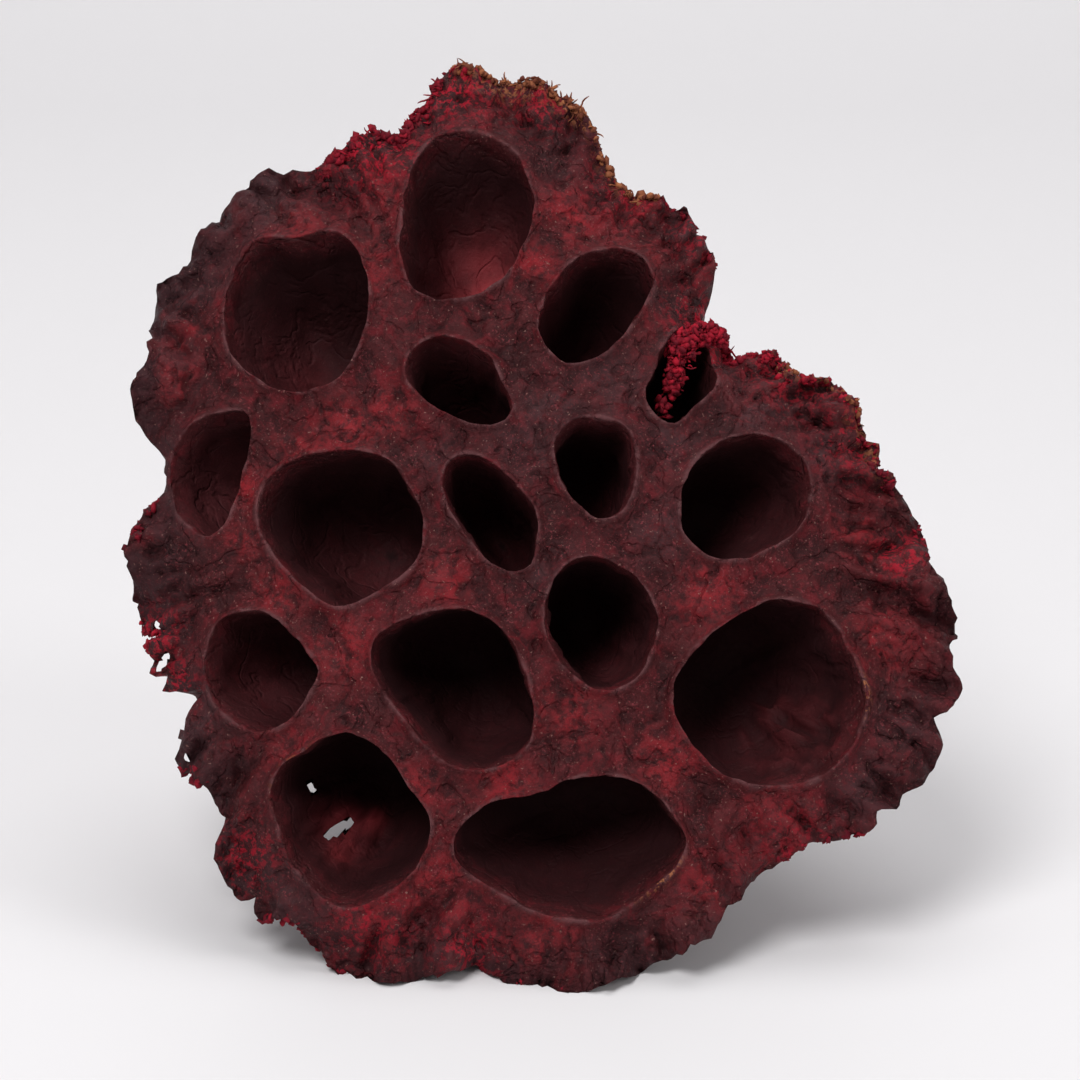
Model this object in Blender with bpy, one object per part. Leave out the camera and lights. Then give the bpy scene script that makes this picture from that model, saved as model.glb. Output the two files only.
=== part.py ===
"""A dried lotus pod, lying on the rim of its face and on its cut stalk.

The pod is grown in its own frame, in millimetres: u runs to the right across the seed face, v up the
face and w out of it. It is then tipped back and set down on the ground plane, in metres, +Z up.
"""
import math

import bmesh
import bpy
import numpy as np
from mathutils import Vector
from mathutils.geometry import delaunay_2d_cdt

NAME = "lotus_pod"
MM = 0.001

# Seed cells: where each opens on the face (u, v), the reach of its mouth every 30 degrees from +u
# round towards +v, and its depth.
CELLS = {
    "upper_left": ((-31.1, 26.1), (9.5, 10.4, 12.0, 10.0, 11.2, 9.5, 9.0, 9.5, 9.7, 10.6, 10.6, 9.6), 17.0),
    "top": ((-9.4, 38.4), (8.6, 9.7, 11.5, 12.2, 11.5, 8.8, 8.1, 9.5, 11.5, 10.7, 9.6, 8.2), 16.0),
    "upper_right": ((7.7, 26.6), (5.6, 8.1, 9.0, 8.2, 6.9, 6.5, 7.2, 8.3, 8.6, 6.8, 5.2, 4.8), 19.0),
    "centre_top": ((-9.9, 16.6), (5.3, 4.9, 4.8, 5.4, 6.6, 7.3, 6.5, 4.9, 4.4, 4.9, 6.7, 7.9), 21.0),
    "left_edge": ((-40.6, 5.2), (3.2, 4.4, 8.1, 7.7, 7.1, 6.4, 6.1, 6.5, 7.4, 7.9, 4.7, 3.3), 13.0),
    "left": ((-24.8, -2.6), (10.7, 10.3, 10.9, 10.4, 10.9, 11.5, 9.9, 8.4, 8.3, 9.9, 9.4, 10.4), 21.0),
    "centre": ((-6.0, 0.0), (5.6, 4.6, 4.6, 6.1, 7.9, 6.8, 4.9, 4.2, 4.6, 6.7, 9.2, 7.1), 23.0),
    "centre_right": ((7.6, 5.4), (4.9, 5.5, 6.1, 6.3, 6.8, 6.2, 5.2, 5.0, 5.4, 6.7, 6.7, 5.4), 22.0),
    "right": ((26.5, 2.0), (8.1, 8.8, 8.6, 8.1, 7.6, 7.9, 8.2, 9.4, 9.1, 7.9, 7.2, 7.4), 18.0),
    "centre_low": ((8.3, -14.6), (6.9, 6.8, 7.2, 8.1, 8.5, 7.7, 7.1, 6.9, 7.3, 8.4, 8.0, 7.1), 22.0),
    "lower_right": (
        (29.3, -23.5), (12.0, 11.6, 12.7, 12.0, 10.5, 11.0, 12.1, 11.4, 11.1, 11.1, 11.8, 11.9), 18.0),
    "centre_low_left": (
        (-10.5, -22.9), (9.9, 9.4, 9.9, 10.0, 10.2, 11.3, 8.6, 7.0, 7.5, 9.4, 11.3, 11.7), 21.0),
    "lower_left": ((-34.3, -20.6), (7.1, 6.2, 6.4, 7.7, 8.7, 8.0, 7.1, 6.8, 6.8, 7.5, 7.1, 6.7), 16.0),
    "bottom_left": (
        (-23.4, -39.5), (10.6, 8.8, 9.5, 10.9, 10.3, 10.6, 8.6, 8.2, 8.9, 10.4, 10.2, 10.5), 21.0),
    "bottom": ((4.9, -42.9), (13.8, 12.7, 10.8, 9.0, 8.3, 11.7, 14.8, 10.3, 8.6, 8.4, 9.3, 10.2), 16.0),
    "broken": ((17.8, 17.5), (5.1, 5.4, 7.1, 7.1, 4.2, 3.1, 3.3, 4.7, 6.2, 6.1, 4.4, 4.4), 17.0),
}
MOUTH_BEARINGS = tuple(range(0, 360, 30))
MOUTH_OUTLINE_STEPS = 48

# The face's ragged edge: reach from the middle of the face at each angle, degrees from +u.
EDGE = (
    (0, 48.4), (15, 44.1), (25, 42.3), (30, 38.8), (36, 37.5), (41, 33.4), (46, 35.3), (51, 33.2),
    (55, 39.8), (60, 43.8), (68, 45.8), (80, 49.3), (85, 56.5), (95, 59.6), (101, 61.8), (106, 56.2),
    (109, 54.2), (114, 55.8), (122, 55.3), (129, 59.2), (136, 57.6), (145, 58.3), (155, 55.5),
    (165, 53.2), (171, 48.8), (176, 47.6), (182, 51.8), (197, 51.6), (203, 52.6), (208, 49.6),
    (213, 54.2), (223, 54.4), (228, 59.4), (240, 60.0), (248, 62.2), (254, 62.2), (261, 57.8),
    (270, 59.7), (279, 59.9), (292, 57.2), (307, 53.0), (314, 56.8), (330, 58.4), (345, 54.8),
    (356, 50.0),
)
EDGE_THICKNESS = 1.3
EDGE_SCALLOPS = 29
EDGE_SCALLOP_HEIGHT = 0.5
EDGE_SCALLOP_SWAY = (2.0, 9.0)

# How the face bows: its middle stands proud of its edge, most on the left, and it swells in waves.
FACE_DROP = 6.0
FACE_DROP_TO_LEFT = 2.4
FACE_BOW = 2.4
FACE_SWELL = 1.1
FACE_SWELL_LENGTHS = (10.5, 12.0)
FACE_SWELL_PHASES = (0.6, -0.4)
LIP_HEIGHT = 1.5
LIP_WIDTH = 1.25
LIP_CREST = 0.45
WEB_RISE = 0.9
WEB_RISE_WIDTH = 4.0

# The crumpled margin: how high its folds stand, how far from the mouths and how far out they start
# and are full, and its waves (number round the edge, share of the height, lean).
CRUMPLE_HEIGHT = 1.5
CRUMPLE_GAPS = (2.5, 7.0)
CRUMPLE_SHARES = (0.7, 0.9)
CRUMPLE_WAVES = ((31, 0.6, 9.0), (19, 0.5, -14.0), (47, 0.35, 0.0))
CRUMPLE_WANDER = ((5, 2.2), (1, 1.3), (3, 3.0))

# The torn corner of the broken cell: where it is, how wide, and how far the wall is worn down.
TEAR = (25.5, 24.5)
TEAR_WIDTH = 7.5
TEAR_DEPTH = 5.0

# Cells taper towards one point behind the face, and each closes in a rounded floor.
CELL_APEX = 88.0
CELL_SECTIONS = ((0.05, 1.0), (0.22, 1.01), (0.45, 0.97), (0.68, 0.86), (0.86, 0.66), (0.96, 0.38))
CELL_WALL = 1.5
BULGE_FALLOFF = 14.0

# The body behind the face, as depth behind it and share of its girth, from bowl to stalk.
SKIRT_WIDTH = 4.2
SKIRT_LEAST = 1.0
SKIRT_ROOT_DEPTH = 3.0
SKIRT_SECTIONS = (0.08, 0.5, 1.0)
BODY = (
    (5.5, 1.0), (9.0, 0.985), (13.0, 0.955), (18.0, 0.895), (24.0, 0.805), (30.5, 0.69), (37.5, 0.565),
    (45.0, 0.43), (52.0, 0.315), (58.5, 0.23), (63.5, 0.178), (66.0, 0.172), (67.5, 0.185),
    (69.0, 0.168), (71.5, 0.115), (75.0, 0.096),
)
BODY_MEAN_GIRTH = 50.0
BODY_ROUND_BY = 48.0
BODY_GIRTH_WINDOW = (-12.0, -8.0, -4.0, 0.0, 4.0, 8.0, 12.0)
BODY_BEHIND_EDGE = 0.7
BODY_RIBS = 21
BODY_RIBS_SWAY = (1.6, 4)
BODY_FINE_RIBS = 34
BODY_FINE_RIBS_SHARE = 0.5
BODY_FINE_RIBS_LEAN = 14.0
BODY_RIB_HEIGHT = 0.75
BODY_RIBS_FULL = 12.0
BODY_RIBS_GIRTH = 30.0
RING_STEP = 1.4

STALK_RADIUS = 4.5
STALK_STATIONS = (80.0, 87.0, 94.0, 97.0)
STALK_BEND = (2.0, -1.2)
STALK_BEND_FROM = 60.0
STALK_GROOVES = 5
STALK_GROOVE_DEPTH = 0.04
STALK_GROOVE_LEAN = 25.0
CANAL_RING = 2.55
CANAL_RADIUS = 0.78
CANAL_DEPTH = 5.0
CANALS = 7
CANAL_SIDES = 6

# How it lies: on the two lobes of its rim on either side of LOBE_SPLIT and on the stalk's end, with
# what would dip below the ground worn flat.
LOBE_SPLIT = -8.0
SETTLE_ROUNDS = 12
SINK = 0.75

# How finely the skin is divided, and the rings of points along each lip: how far out from the mouth,
# and their least spacing as a share of the face's.
EDGE_STEPS = 144
MOUTH_STEP = 2.9
FACE_STEP = 2.1
LIP_RINGS = ((LIP_CREST + 0.35, 0.4), (LIP_CREST + LIP_WIDTH + 0.4, 0.6))
FACE_SPACING = 0.75
EDGE_SPACING = 0.3
MOUTH_SPACING = 0.25
FACE_JITTER = 0.16
FACE_LIMIT = 66.0
HALF_RINGS_FROM = 35.0
QUARTER_RINGS_FROM = 60.0
SEED = 16

COLOUR = (0.056, 0.011, 0.013, 1.0)
ROUGHNESS = 0.62
GROUND_BLOCK = 0.4


def closed_curve(knots, values, angle):
    """A smooth closed curve through values at knots, in degrees, read at any angles."""
    turn = 360.0
    knots = np.concatenate([np.subtract(knots, turn), knots, np.add(knots, turn)])
    values = np.tile(np.asarray(values, float), 3)
    slopes = np.gradient(values, knots)
    angle = np.mod(angle, turn)
    i = np.searchsorted(knots, angle, side="right") - 1
    span = knots[i + 1] - knots[i]
    t = (angle - knots[i]) / span
    rest = 1.0 - t
    return (values[i] * (1 + 2 * t) * rest**2 + slopes[i] * span * t * rest**2
            + values[i + 1] * (3 - 2 * t) * t**2 - slopes[i + 1] * span * rest * t**2)


def edge_reach(angle):
    """How far the face reaches from its middle at each angle, in degrees."""
    ragged = closed_curve([a for a, _ in EDGE], [r for _, r in EDGE], angle)
    wave = np.radians(angle) * EDGE_SCALLOPS
    sway, sways = EDGE_SCALLOP_SWAY
    return ragged + EDGE_SCALLOP_HEIGHT * np.sin(wave + sway * np.sin(wave / sways))


def around(count):
    return np.arange(count) * 360.0 / count


def polar(angle, reach):
    angle = np.radians(angle)
    return np.stack([reach * np.cos(angle), reach * np.sin(angle)], axis=-1)


def mouth(cell, count, grow=0.0):
    """Points round a cell's mouth; grow moves them out from it."""
    centre, reaches, _ = CELLS[cell]
    angle = around(count)
    curve = closed_curve(MOUTH_BEARINGS, 1.0 / np.asarray(reaches), angle)
    return np.asarray(centre) + polar(angle, 1.0 / curve + grow)


def distance_to_ring(points, ring):
    step = np.roll(ring, -1, axis=0) - ring
    away = points[:, None, :] - ring[None]
    along = np.clip((away * step).sum(-1) / (step**2).sum(-1), 0.0, 1.0)
    return np.linalg.norm(away - along[..., None] * step, axis=-1).min(axis=1)


def inside(points, ring):
    """Which points lie inside a closed ring."""
    x, y = points[:, 0, None], points[:, 1, None]
    x0, y0 = ring[:, 0], ring[:, 1]
    x1, y1 = np.roll(x0, -1), np.roll(y0, -1)
    crosses = (y0 > y) != (y1 > y)
    climb = np.where(y1 == y0, 1.0, y1 - y0)
    left = x < (x1 - x0) * (y - y0) / climb + x0
    return (crosses & left).sum(axis=1) % 2 == 1


def rise(values, limits):
    """0 up to the first limit, 1 from the second on, and straight between them."""
    low, high = limits
    return np.clip((values - low) / (high - low), 0.0, 1.0)


def edge_drop(angle):
    """How far the edge lies behind the middle of the face, at each angle in degrees."""
    return FACE_DROP - FACE_DROP_TO_LEFT * np.cos(np.radians(angle))


def face_height(points):
    """How far the skin of the face stands out, at points (u, v)."""
    u, v = points[:, 0], points[:, 1]
    angle = np.degrees(np.arctan2(v, u))
    share = np.hypot(u, v) / edge_reach(angle)
    bow = -edge_drop(angle) * share**FACE_BOW
    (across, along), (start, turn) = FACE_SWELL_LENGTHS, FACE_SWELL_PHASES
    swell = FACE_SWELL * np.sin(u / across + start) * np.cos(v / along + turn)

    rings = [mouth(cell, MOUTH_OUTLINE_STEPS) for cell in CELLS]
    gaps = np.stack([distance_to_ring(points, ring) for ring in rings])
    lips = LIP_HEIGHT * np.exp(-((gaps - LIP_CREST) / LIP_WIDTH)**2)
    lips = lips + WEB_RISE * np.exp(-(gaps / WEB_RISE_WIDTH)**2)

    beyond = rise(gaps.min(axis=0), CRUMPLE_GAPS) * rise(share, CRUMPLE_SHARES)
    turn = np.radians(angle)
    crumple = 0.0
    for (waves, height, lean), (wander, sway) in zip(CRUMPLE_WAVES, CRUMPLE_WANDER):
        crumple = crumple + height * np.sin(waves * turn + sway * np.sin(wander * turn) + lean * share)
    tear = TEAR_DEPTH * np.exp(-((u - TEAR[0])**2 + (v - TEAR[1])**2) / TEAR_WIDTH**2)
    return bow + swell + lips.max(axis=0) + CRUMPLE_HEIGHT * beyond * crumple - tear


def with_height(points):
    return np.column_stack([points, face_height(points)])


def spread(candidates, rings, spacing):
    """Candidates that keep their spacing to each other and to the rings' points."""
    cell = spacing * 0.7
    taken = {}
    kept = []

    def is_clear(point, reach):
        i, j = int(point[0] // cell), int(point[1] // cell)
        near = (q for a in range(i - 2, i + 3) for b in range(j - 2, j + 3) for q in taken.get((a, b), ()))
        return all((point[0] - q[0])**2 + (point[1] - q[1])**2 > reach**2 for q in near)

    for point in np.concatenate(rings):
        taken.setdefault((int(point[0] // cell), int(point[1] // cell)), []).append(point)
    for point, reach in candidates:
        if is_clear(point, reach):
            taken.setdefault((int(point[0] // cell), int(point[1] // cell)), []).append(point)
            kept.append(point)
    return np.array(kept)


def face_points(edge, mouths):
    """Points that fill the face between its edge and the mouths, closest together on the lips."""
    rng = np.random.default_rng(SEED)
    candidates = []
    for offset, share in LIP_RINGS:
        for cell, ring in zip(CELLS, mouths):
            candidates += [(point, share * FACE_STEP) for point in mouth(cell, len(ring), offset)]
    reach = int(FACE_LIMIT / FACE_STEP)
    for row in range(-reach, reach + 1):
        for column in range(-reach, reach + 1):
            point = np.array([column + 0.5 * (row % 2), row * math.sqrt(0.75)])
            point += rng.uniform(-FACE_JITTER, FACE_JITTER, 2)
            candidates.append((point * FACE_STEP, FACE_SPACING * FACE_STEP))
    points = spread(candidates, [edge] + mouths, FACE_STEP)
    fits = inside(points, edge) & (distance_to_ring(points, edge) > EDGE_SPACING * FACE_STEP)
    for ring in mouths:
        fits &= ~inside(points, ring) & (distance_to_ring(points, ring) > MOUTH_SPACING * FACE_STEP)
    return points[fits]


class Skin:
    """The points and faces of one closed skin, as they are laid down."""

    def __init__(self):
        self.points = []
        self.faces = []

    def lay(self, points):
        first = len(self.points)
        self.points += [tuple(point) for point in points]
        return list(range(first, len(self.points)))

    def join(self, ring, inner):
        """Faces between two rings; the inner one may have a whole share of the points."""
        ratio = len(ring) // len(inner)
        for j in range(len(inner)):
            here, there = inner[j], inner[(j + 1) % len(inner)]
            strip = [ring[(j * ratio + k) % len(ring)] for k in range(ratio + 1)]
            for a, b in zip(strip[:-1], strip[1:-1]):
                self.faces.append((a, b, here))
            self.faces.append((strip[-2], strip[-1], there, here))

    def close(self, ring, point):
        tip = self.lay([point])[0]
        for a, b in zip(ring, ring[1:] + ring[:1]):
            self.faces.append((a, b, tip))

    def fill(self, outer, holes, points, flat):
        """Triangles between an outer ring and the holes in it, through points; flat gives (a, b)."""
        rings = [outer] + holes
        order = [i for ring in rings for i in ring] + points
        plane = [Vector(flat[i]) for i in order]
        sides = []
        first = 0
        for ring in rings:
            count = len(ring)
            sides += [(first + k, first + (k + 1) % count) for k in range(count)]
            first += count
        laid, _, faces, *_ = delaunay_2d_cdt(plane, sides, [], 0, 1e-6)
        if len(laid) != len(order):
            raise ValueError("rings or points of a filled face meet")
        place = np.array([flat[i] for i in order])
        middles = place[np.array(faces)].mean(axis=1)
        wanted = inside(middles, np.array([flat[i] for i in outer]))
        for hole in holes:
            wanted &= ~inside(middles, np.array([flat[i] for i in hole]))
        self.faces += [tuple(order[i] for i in face) for face, keep in zip(faces, wanted) if keep]


def cell_sections(cell, ring):
    """Rings of points down a cell from its mouth, and the middle of its floor."""
    depth = CELLS[cell][2]
    middle = ring.mean(axis=0)
    apex = np.array([0.0, 0.0, -CELL_APEX])
    sections = []
    for share, width in CELL_SECTIONS + ((1.0, 0.0),):
        section = middle + (ring - middle) * width
        sections.append(apex + (section - apex) * (1.0 - share * depth / CELL_APEX))
    return sections[:-1], sections[-1][0]


def body_reach(angle, depth, share, cell_skin):
    """The body's reach from its axis; it swells where a cell comes near its skin."""
    girth = edge_reach(angle[:, None] + BODY_GIRTH_WINDOW).mean(axis=1) - SKIRT_WIDTH
    girth = np.minimum(girth, edge_reach(angle) - SKIRT_LEAST)
    roundness = min(1.0, depth / BODY_ROUND_BY)
    reach = (girth * (1.0 - roundness) + BODY_MEAN_GIRTH * roundness) * share
    turn = np.radians(angle)
    sway, sways = BODY_RIBS_SWAY
    ribs = np.sin(BODY_RIBS * turn + sway * np.sin(sways * turn))
    ribs += BODY_FINE_RIBS_SHARE * np.sin(BODY_FINE_RIBS * turn + depth / BODY_FINE_RIBS_LEAN)
    rising = min(1.0, (depth - BODY[0][0]) / BODY_RIBS_FULL)
    reach = reach + BODY_RIB_HEIGHT * rising * min(1.0, reach.mean() / BODY_RIBS_GIRTH) * ribs

    cell_angle = np.arctan2(cell_skin[:, 1], cell_skin[:, 0])
    cell_reach = np.hypot(cell_skin[:, 0], cell_skin[:, 1])
    turned = np.angle(np.exp(1j * (turn[:, None] - cell_angle[None])))
    aside = (turned * cell_reach)**2 + (depth + cell_skin[:, 2])**2
    needed = (cell_reach + CELL_WALL - aside / BULGE_FALLOFF).max(axis=1)
    return np.minimum(np.maximum(reach, needed), edge_reach(angle) - BODY_BEHIND_EDGE)


def stalk_middle(depth):
    """Where the stalk's middle runs: it bends gently away from the pod's axis."""
    bend = np.clip((depth - STALK_BEND_FROM) / (STALK_STATIONS[-1] - STALK_BEND_FROM), 0.0, 1.0)**2
    return np.array(STALK_BEND) * bend


def lay_back(skin, edge, cell_skin):
    """The edge's thickness, the skirt's underside, the ribbed body and the stalk, to its last ring."""
    angle = around(EDGE_STEPS)
    drop = edge_drop(angle)
    flat_edge = polar(angle, edge_reach(angle))
    depth, share = BODY[0]
    root = polar(angle, body_reach(angle, depth, share, cell_skin))
    level = -depth - drop * (1 - depth / BODY_ROUND_BY)
    level = np.minimum(level, face_height(root) - SKIRT_ROOT_DEPTH)
    last = edge
    for q in SKIRT_SECTIONS:
        place = flat_edge * (1 - q) + root * q
        under = (face_height(place) - EDGE_THICKNESS) * (1 - q) + level * q
        ring = skin.lay(np.column_stack([place, under]))
        skin.join(last, ring)
        last = ring
    for depth, share in BODY[1:]:
        fade = max(0.0, 1 - depth / BODY_ROUND_BY)
        level = np.minimum(-depth - drop * fade, level - RING_STEP)
        skip = 1 if depth < HALF_RINGS_FROM else 2 if depth < QUARTER_RINGS_FROM else 4
        flat = polar(angle[::skip], body_reach(angle[::skip], depth, share, cell_skin))
        ring = skin.lay(np.column_stack([flat + stalk_middle(depth), level[::skip]]))
        skin.join(last, ring)
        last = ring
    for depth in STALK_STATIONS:
        angle = around(len(last))
        waves = np.sin(np.radians(angle) * STALK_GROOVES + depth / STALK_GROOVE_LEAN)
        grooves = 1.0 + STALK_GROOVE_DEPTH * waves
        flat = polar(angle, STALK_RADIUS * grooves) + stalk_middle(depth)
        ring = skin.lay(np.column_stack([flat, np.full(len(last), -depth)]))
        skin.join(last, ring)
        last = ring
    return last


def lay_cut_end(skin, ring):
    """The stalk's cut end, with the mouths of the air canals that run up it."""
    depth = STALK_STATIONS[-1]
    middle = stalk_middle(depth)
    canals = []
    for turn in around(CANALS):
        centre = middle + polar(turn, CANAL_RING)
        opening = centre + polar(around(CANAL_SIDES), CANAL_RADIUS)
        canal = skin.lay(np.column_stack([opening, np.full(CANAL_SIDES, -depth)]))
        floor = skin.lay(np.column_stack([opening, np.full(CANAL_SIDES, CANAL_DEPTH - depth)]))
        skin.join(canal, floor)
        skin.close(floor, (*centre, CANAL_DEPTH - depth))
        canals.append(canal)
    flat = {i: skin.points[i][:2] for hole in [ring] + canals for i in hole}
    skin.fill(ring, canals, [], flat)


def grow_pod():
    """The whole skin of the pod, in its own frame."""
    skin = Skin()
    edge = with_height(polar(around(EDGE_STEPS), edge_reach(around(EDGE_STEPS))))
    mouths = []
    for cell, (_, reaches, _) in CELLS.items():
        count = 2 * round(math.pi * sum(reaches) / len(reaches) / MOUTH_STEP)
        mouths.append(with_height(mouth(cell, count)))
    filling = with_height(face_points(edge[:, :2], [ring[:, :2] for ring in mouths]))

    edge_ring = skin.lay(edge)
    mouth_rings = [skin.lay(ring) for ring in mouths]
    inner = skin.lay(filling)
    flat = {i: point[:2] for i, point in enumerate(skin.points)}
    skin.fill(edge_ring, mouth_rings, inner, flat)

    cell_skin = []
    for cell, ring, points in zip(CELLS, mouth_rings, mouths):
        sections, floor = cell_sections(cell, points)
        for section in sections:
            laid = skin.lay(section)
            skin.join(ring, laid)
            ring = laid
            cell_skin.append(section)
        skin.close(ring, floor)
    last = lay_back(skin, edge_ring, np.concatenate(cell_skin))
    lay_cut_end(skin, last)
    return skin


def lowest(points, up, wanted):
    """The lowest of the wanted points, along up."""
    chosen = points[wanted]
    return chosen[np.argmin(chosen @ up)]


def settled_up(points):
    """The upward direction once the rim's two low lobes and the stalk's end lie on the ground."""
    u, v, w = points.T
    on_rim = (w > -STALK_STATIONS[0] / 2) & (v < 0)
    left, right = on_rim & (u < LOBE_SPLIT), on_rim & (u >= LOBE_SPLIT)
    stalk = w < -STALK_STATIONS[0]
    up = np.array([0.0, 1.0, 0.0])
    for _ in range(SETTLE_ROUNDS):
        a, b, c = (lowest(points, up, wanted) for wanted in (left, right, stalk))
        up = np.cross(a - c, b - c)
        up *= math.copysign(1.0, up[1]) / np.linalg.norm(up)
    return up


def set_down(points):
    """Tip the face back, rest the pod on the ground and centre it, in metres."""
    points = np.asarray(points)
    up = settled_up(points)
    right = np.array([1.0, 0.0, 0.0]) - up[0] * up
    right /= np.linalg.norm(right)
    laid = points @ np.column_stack([right, np.cross(up, right), up])
    laid[:, 2] -= laid[:, 2].min() + SINK
    middle = (laid.min(axis=0) + laid.max(axis=0)) / 2
    return (laid - [middle[0], middle[1], 0.0]) * MM


def dyed_material():
    """Dull dyed burgundy of the dried pod."""
    material = bpy.data.materials.new(NAME)
    material.use_nodes = True
    surface = material.node_tree.nodes["Principled BSDF"]
    surface.inputs["Base Color"].default_value = COLOUR
    surface.inputs["Roughness"].default_value = ROUGHNESS
    surface.inputs["Metallic"].default_value = 0.0
    return material


def ground_cutter(collection):
    """A block whose top is the ground."""
    bpy.ops.mesh.primitive_cube_add(size=GROUND_BLOCK, location=(0.0, 0.0, -GROUND_BLOCK / 2))
    block = bpy.context.object
    block.name = "ground_cutter"
    for holder in block.users_collection:
        holder.objects.unlink(block)
    collection.objects.link(block)
    block.hide_render = True
    block.display_type = "WIRE"
    return block


def make_pod(collection, cutters):
    skin = grow_pod()
    mesh = bpy.data.meshes.new(NAME)
    mesh.from_pydata(set_down(skin.points).tolist(), [], skin.faces)
    shell = bmesh.new()
    shell.from_mesh(mesh)
    bmesh.ops.triangulate(shell, faces=shell.faces)
    bmesh.ops.recalc_face_normals(shell, faces=shell.faces)
    shell.to_mesh(mesh)
    shell.free()
    mesh.shade_smooth()
    mesh.materials.append(dyed_material())
    pod = bpy.data.objects.new(NAME, mesh)
    collection.objects.link(pod)
    flats = pod.modifiers.new("resting_flats", "BOOLEAN")
    flats.operation = "DIFFERENCE"
    flats.object = ground_cutter(cutters)
    return pod


def main():
    for existing in list(bpy.data.objects):
        bpy.data.objects.remove(existing, do_unlink=True)
    collection = bpy.data.collections.new(NAME)
    cutters = bpy.data.collections.new("cutters")
    for group in (collection, cutters):
        bpy.context.scene.collection.children.link(group)
    make_pod(collection, cutters)


main()
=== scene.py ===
"""The looks of a dried lotus pod: its wrinkled dyed skin, torn edges, floor, light and camera."""
import math

import bmesh
import bpy
import numpy as np
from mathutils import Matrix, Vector, noise
from mathutils.geometry import delaunay_2d_cdt


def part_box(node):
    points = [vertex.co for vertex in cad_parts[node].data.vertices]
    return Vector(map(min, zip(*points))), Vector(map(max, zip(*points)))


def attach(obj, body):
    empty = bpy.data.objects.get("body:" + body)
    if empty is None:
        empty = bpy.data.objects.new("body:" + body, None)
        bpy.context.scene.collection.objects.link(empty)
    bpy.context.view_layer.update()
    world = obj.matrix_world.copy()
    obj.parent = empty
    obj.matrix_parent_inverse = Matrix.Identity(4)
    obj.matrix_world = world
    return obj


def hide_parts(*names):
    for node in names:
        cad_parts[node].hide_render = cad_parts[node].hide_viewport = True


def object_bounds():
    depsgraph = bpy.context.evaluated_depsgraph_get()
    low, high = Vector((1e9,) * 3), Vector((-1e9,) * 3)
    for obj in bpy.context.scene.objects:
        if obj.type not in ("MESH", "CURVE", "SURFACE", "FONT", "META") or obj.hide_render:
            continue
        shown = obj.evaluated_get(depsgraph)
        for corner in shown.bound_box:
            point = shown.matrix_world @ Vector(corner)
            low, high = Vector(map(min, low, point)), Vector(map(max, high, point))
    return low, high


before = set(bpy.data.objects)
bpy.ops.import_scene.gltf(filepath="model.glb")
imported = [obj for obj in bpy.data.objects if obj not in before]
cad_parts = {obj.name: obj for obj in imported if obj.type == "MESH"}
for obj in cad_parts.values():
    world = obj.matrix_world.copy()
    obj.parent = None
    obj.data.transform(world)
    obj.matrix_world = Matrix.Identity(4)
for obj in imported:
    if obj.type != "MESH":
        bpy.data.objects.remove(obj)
cad_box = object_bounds()

MM = 0.001
NODE = "lotus_pod"

# Seed cells: where each opens on the face (u, v), the reach of its mouth every 30 degrees from +u
# round towards +v, and its depth, in millimetres.
CELLS = {
    "upper_left": ((-31.1, 26.1), (9.5, 10.4, 12.0, 10.0, 11.2, 9.5, 9.0, 9.5, 9.7, 10.6, 10.6, 9.6), 17.0),
    "top": ((-9.4, 38.4), (8.6, 9.7, 11.5, 12.2, 11.5, 8.8, 8.1, 9.5, 11.5, 10.7, 9.6, 8.2), 16.0),
    "upper_right": ((7.7, 26.6), (5.6, 8.1, 9.0, 8.2, 6.9, 6.5, 7.2, 8.3, 8.6, 6.8, 5.2, 4.8), 19.0),
    "centre_top": ((-9.9, 16.6), (5.3, 4.9, 4.8, 5.4, 6.6, 7.3, 6.5, 4.9, 4.4, 4.9, 6.7, 7.9), 21.0),
    "left_edge": ((-40.6, 5.2), (3.2, 4.4, 8.1, 7.7, 7.1, 6.4, 6.1, 6.5, 7.4, 7.9, 4.7, 3.3), 13.0),
    "left": ((-24.8, -2.6), (10.7, 10.3, 10.9, 10.4, 10.9, 11.5, 9.9, 8.4, 8.3, 9.9, 9.4, 10.4), 21.0),
    "centre": ((-6.0, 0.0), (5.6, 4.6, 4.6, 6.1, 7.9, 6.8, 4.9, 4.2, 4.6, 6.7, 9.2, 7.1), 23.0),
    "centre_right": ((7.6, 5.4), (4.9, 5.5, 6.1, 6.3, 6.8, 6.2, 5.2, 5.0, 5.4, 6.7, 6.7, 5.4), 22.0),
    "right": ((26.5, 2.0), (8.1, 8.8, 8.6, 8.1, 7.6, 7.9, 8.2, 9.4, 9.1, 7.9, 7.2, 7.4), 18.0),
    "centre_low": ((8.3, -14.6), (6.9, 6.8, 7.2, 8.1, 8.5, 7.7, 7.1, 6.9, 7.3, 8.4, 8.0, 7.1), 22.0),
    "lower_right": (
        (29.3, -23.5), (12.0, 11.6, 12.7, 12.0, 10.5, 11.0, 12.1, 11.4, 11.1, 11.1, 11.8, 11.9), 18.0),
    "centre_low_left": (
        (-10.5, -22.9), (9.9, 9.4, 9.9, 10.0, 10.2, 11.3, 8.6, 7.0, 7.5, 9.4, 11.3, 11.7), 21.0),
    "lower_left": ((-34.3, -20.6), (7.1, 6.2, 6.4, 7.7, 8.7, 8.0, 7.1, 6.8, 6.8, 7.5, 7.1, 6.7), 16.0),
    "bottom_left": (
        (-23.4, -39.5), (10.6, 8.8, 9.5, 10.9, 10.3, 10.6, 8.6, 8.2, 8.9, 10.4, 10.2, 10.5), 21.0),
    "bottom": ((4.9, -42.9), (13.8, 12.7, 10.8, 9.0, 8.3, 11.7, 14.8, 10.3, 8.6, 8.4, 9.3, 10.2), 16.0),
    "broken": ((17.8, 17.5), (5.1, 5.4, 7.1, 7.1, 4.2, 3.1, 3.3, 4.7, 6.2, 6.1, 4.4, 4.4), 17.0),
}
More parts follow.
